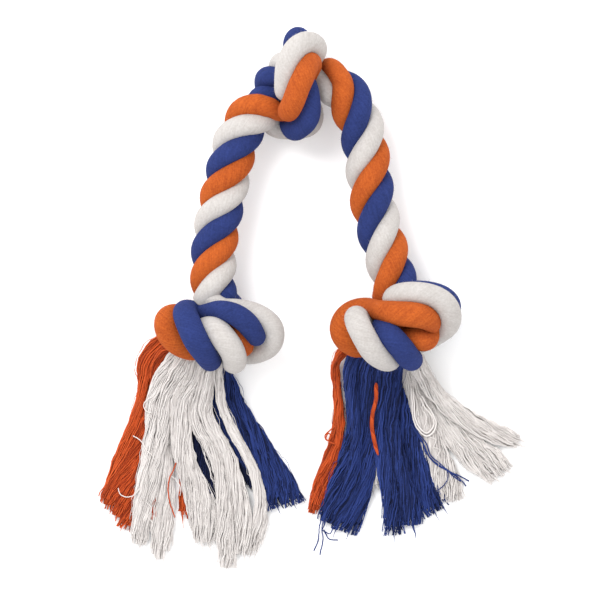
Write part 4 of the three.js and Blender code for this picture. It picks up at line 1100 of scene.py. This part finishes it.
def lock_yarns(rows, layer, rng):
    """The yarns of one lock: twisted bundles side by side, each with a core, that fray at their ends."""
    line, half, across = lock_line(rows)
    t = np.linspace(0, 1, len(line))
    thick = (LOCK_THICKNESS / 2) * (1 - TIP_THINNING * t)
    lift = max(layer, 0) * LAYER_LIFT * LOCK_THICKNESS * np.clip(LAYER_HOLD - LAYER_FALL * t, 0, 1)
    lift += HEAD_LIFT * np.clip(1 - HEAD_FALL * t, 0, 1)
    # Painted shade: the yarns of a lock under the rest are darker, as in the shadow of the locks over it
    painted_shade = min(layer, 0)
    width = half.mean() * 2
    count = int(YARNS_PER_WIDTH * width)
    bundles = max(2, round(width / BUNDLE_WIDTH))
    spots = (np.arange(bundles) + 0.5) / bundles * 2 - 1
    spin = rng.uniform(0, FULL_TURN, bundles)
    pace = rng.uniform(*BUNDLE_PACES, bundles)
    height = rng.uniform(*BUNDLE_LIFTS, bundles)
    turns = rng.uniform(*BUNDLE_TURNS, bundles)
    cut = 1 + rng.uniform(*BUNDLE_CUTS, bundles)
    middles, yarns = [], []

    def keep(u, z, radius, run, shade, looseness):
        route = line + across * (u * half)[:, None]
        route[:, 2] = z
        yarns.append((route, radius, run, shade + painted_shade, looseness))

    for b in range(bundles):
        turn = FULL_TURN * pace[b] * t + spin[b]
        u = spots[b] * BUNDLE_SPREAD + BUNDLE_SWAY / bundles * np.sin(turn)
        v = height[b] + BUNDLE_ROLL * np.cos(turn)
        middles.append((u, v))
        radius = CORE_SHARE * np.minimum(BUNDLE_REACH / bundles * half, BUNDLE_HEIGHT * thick)
        z = np.maximum(thick + lift + v * thick, radius)
        point = np.clip((1.0 - t) / CORE_POINT, CORE_TIP, 1)
        keep(u, z, radius * point, t * CORE_LENGTH * cut[b], CORE_SHADE, CORE_LOOSENESS)
    for n in range(count):
        b = n % bundles
        middle_u, middle_v = middles[b]
        r = math.sqrt(rng.uniform(INNERMOST, 1))
        a = rng.uniform(0, FULL_TURN) + FULL_TURN * turns[b] * t
        loosened = np.clip((t - FRAY_START) / FRAY_LENGTH, 0, 1) ** FRAY_POWER
        fray = 1 + FRAY * loosened * rng.uniform(0, 1)
        u = middle_u + BUNDLE_REACH / bundles * r * np.cos(a) * fray
        v = middle_v + BUNDLE_HEIGHT * r * np.sin(a)
        u = u / np.maximum(1, np.abs(u) / WIDEST)
        stray = rng.uniform() < STRAY_SHARE
        if stray:
            u, v = u * STRAY_OUT, v * STRAY_UP + STRAY_LIFT
        z = thick + lift + v * thick * np.sqrt(np.clip(1 - CROWN * u**2, CROWN_LEAST, 1))
        radius = STRAY_RADIUS if stray else YARN_RADIUS * rng.uniform(*YARN_SIZES)
        shade = rng.uniform(*YARN_SHADES)
        looseness = STRAY_LOOSENESS if stray else YARN_LOOSENESS
        keep(u, np.maximum(z, YARN_RADIUS), radius, t * cut[b], shade, looseness)
    return yarns


def hang(piece):
    """Bakes the place of a piece of a tassel into its mesh."""
    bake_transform(piece)


def dress_tassel(side, rng):
    """The locks of one tassel. Gives back the tops of the yarns, for the loose threads to lie on."""
    gathered = {}
    for name, layer, rows in LOCKS[side]:
        gathered.setdefault(name, []).extend(lock_yarns(rows, layer, rng))
    tops = []
    for k, (name, yarns) in enumerate(gathered.items()):
        colour = name.split("_")[0]
        lock = f"{side}_tassel_{name}"
        piece = dress_yarns(lock + "_yarns", colour, yarns, LOCK_MAKE, LOCK_SEEDS + k)
        hang(piece)
        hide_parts(lock)
        tops.append(np.vstack([route for route, *_ in yarns])[::3])
    return np.vstack(tops)


def lay_on(tops, places, radius):
    """The route of a loose thread through places on the table plane, laid on the yarns under it."""
    path = np.array([(x * MM, y * MM, 0) for x, y in places])
    line, _ = smooth_run(path, np.zeros(len(path)), THREAD_STEP)
    height = np.full(len(line), radius)
    for i, point in enumerate(line):
        near = tops[np.linalg.norm(tops[:, :2] - point[:2], axis=1) < THREAD_REST]
        if len(near):
            height[i] = near[:, 2].max() + YARN_RADIUS + radius
    for _ in range(THREAD_ROUNDS):
        height[1:-1] = np.maximum(height[1:-1], (height[:-2] + height[2:]) / 2)
    line[:, 2] = height
    return line


def dress_threads(side, tops):
    """The long loose threads that lie on a tassel, one piece for each colour."""
    for k, colour in enumerate(COLOURS):
        yarns = []
        for thread_colour, radius, places in THREADS[side]:
            if thread_colour == colour:
                route = lay_on(tops, places, radius * MM)
                run = np.linspace(0, 1, len(route))
                yarns.append((route, radius * MM, run, THREAD_SHADE, THREAD_LOOSENESS))
        if yarns:
            name, seed = f"{side}_tassel_{colour}_threads", THREAD_SEEDS[side] + k
            hang(dress_yarns(name, colour, yarns, THREAD_MAKE, seed))


def dress_wisp(tops):
    """The thin twisted wisp of orange yarn that lies along the right tassel: six yarns round one."""
    line = lay_on(tops, WISP, WISP_RADIUS)
    t = np.linspace(0, 1, len(line))
    tangent = unit(np.gradient(line, axis=0))
    side = unit(np.cross(tangent, [0, 0, 1.0]))
    over = np.cross(side, tangent)
    head, head_length = WISP_HEAD
    tail, tail_length = WISP_TAIL
    taper = np.clip(head + t / head_length, 0, 1) * np.clip(tail + (1 - t) / tail_length, 0, 1)
    yarns = []
    for n, shade in enumerate(np.linspace(*WISP_SHADES, WISP_ROUND + 1)):
        reach = (WISP_SPREAD if n < WISP_ROUND else 0) * WISP_RADIUS * taper
        angle = FULL_TURN * (n / WISP_ROUND + WISP_TURNS * t)
        route = line + side * (reach * np.cos(angle))[:, None] + over * (reach * np.sin(angle))[:, None]
        yarns.append((route, WISP_FINENESS * WISP_RADIUS * taper, t, shade, WISP_LOOSENESS))
    piece = dress_yarns("right_tassel_orange_wisp_yarns", "orange", yarns, WISP_MAKE, WISP_SEED)
    hang(piece)
    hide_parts("right_tassel_orange_wisp")


set_camera()
set_light()
lay_floor()
ARMS = {side: make_arm(side) for side in SIDES}
COTTONS = {colour + "_strand": cotton_felt(colour) for colour in COLOURS}
COTTONS |= {colour + "_yarn": cotton_yarn(colour) for colour in COLOURS}
TREES = {"strand": strand_tree(), "yarns": yarn_tree()}
for side in SIDES:
    dress_arm(side)
    dress_end_knot(side)
dress_middle_knot()
draws = np.random.default_rng(TASSEL_SEED)
yarn_tops = {side: dress_tassel(side, draws) for side in SIDES}
for side in SIDES:
    dress_threads(side, yarn_tops[side])
dress_wisp(yarn_tops["right"])
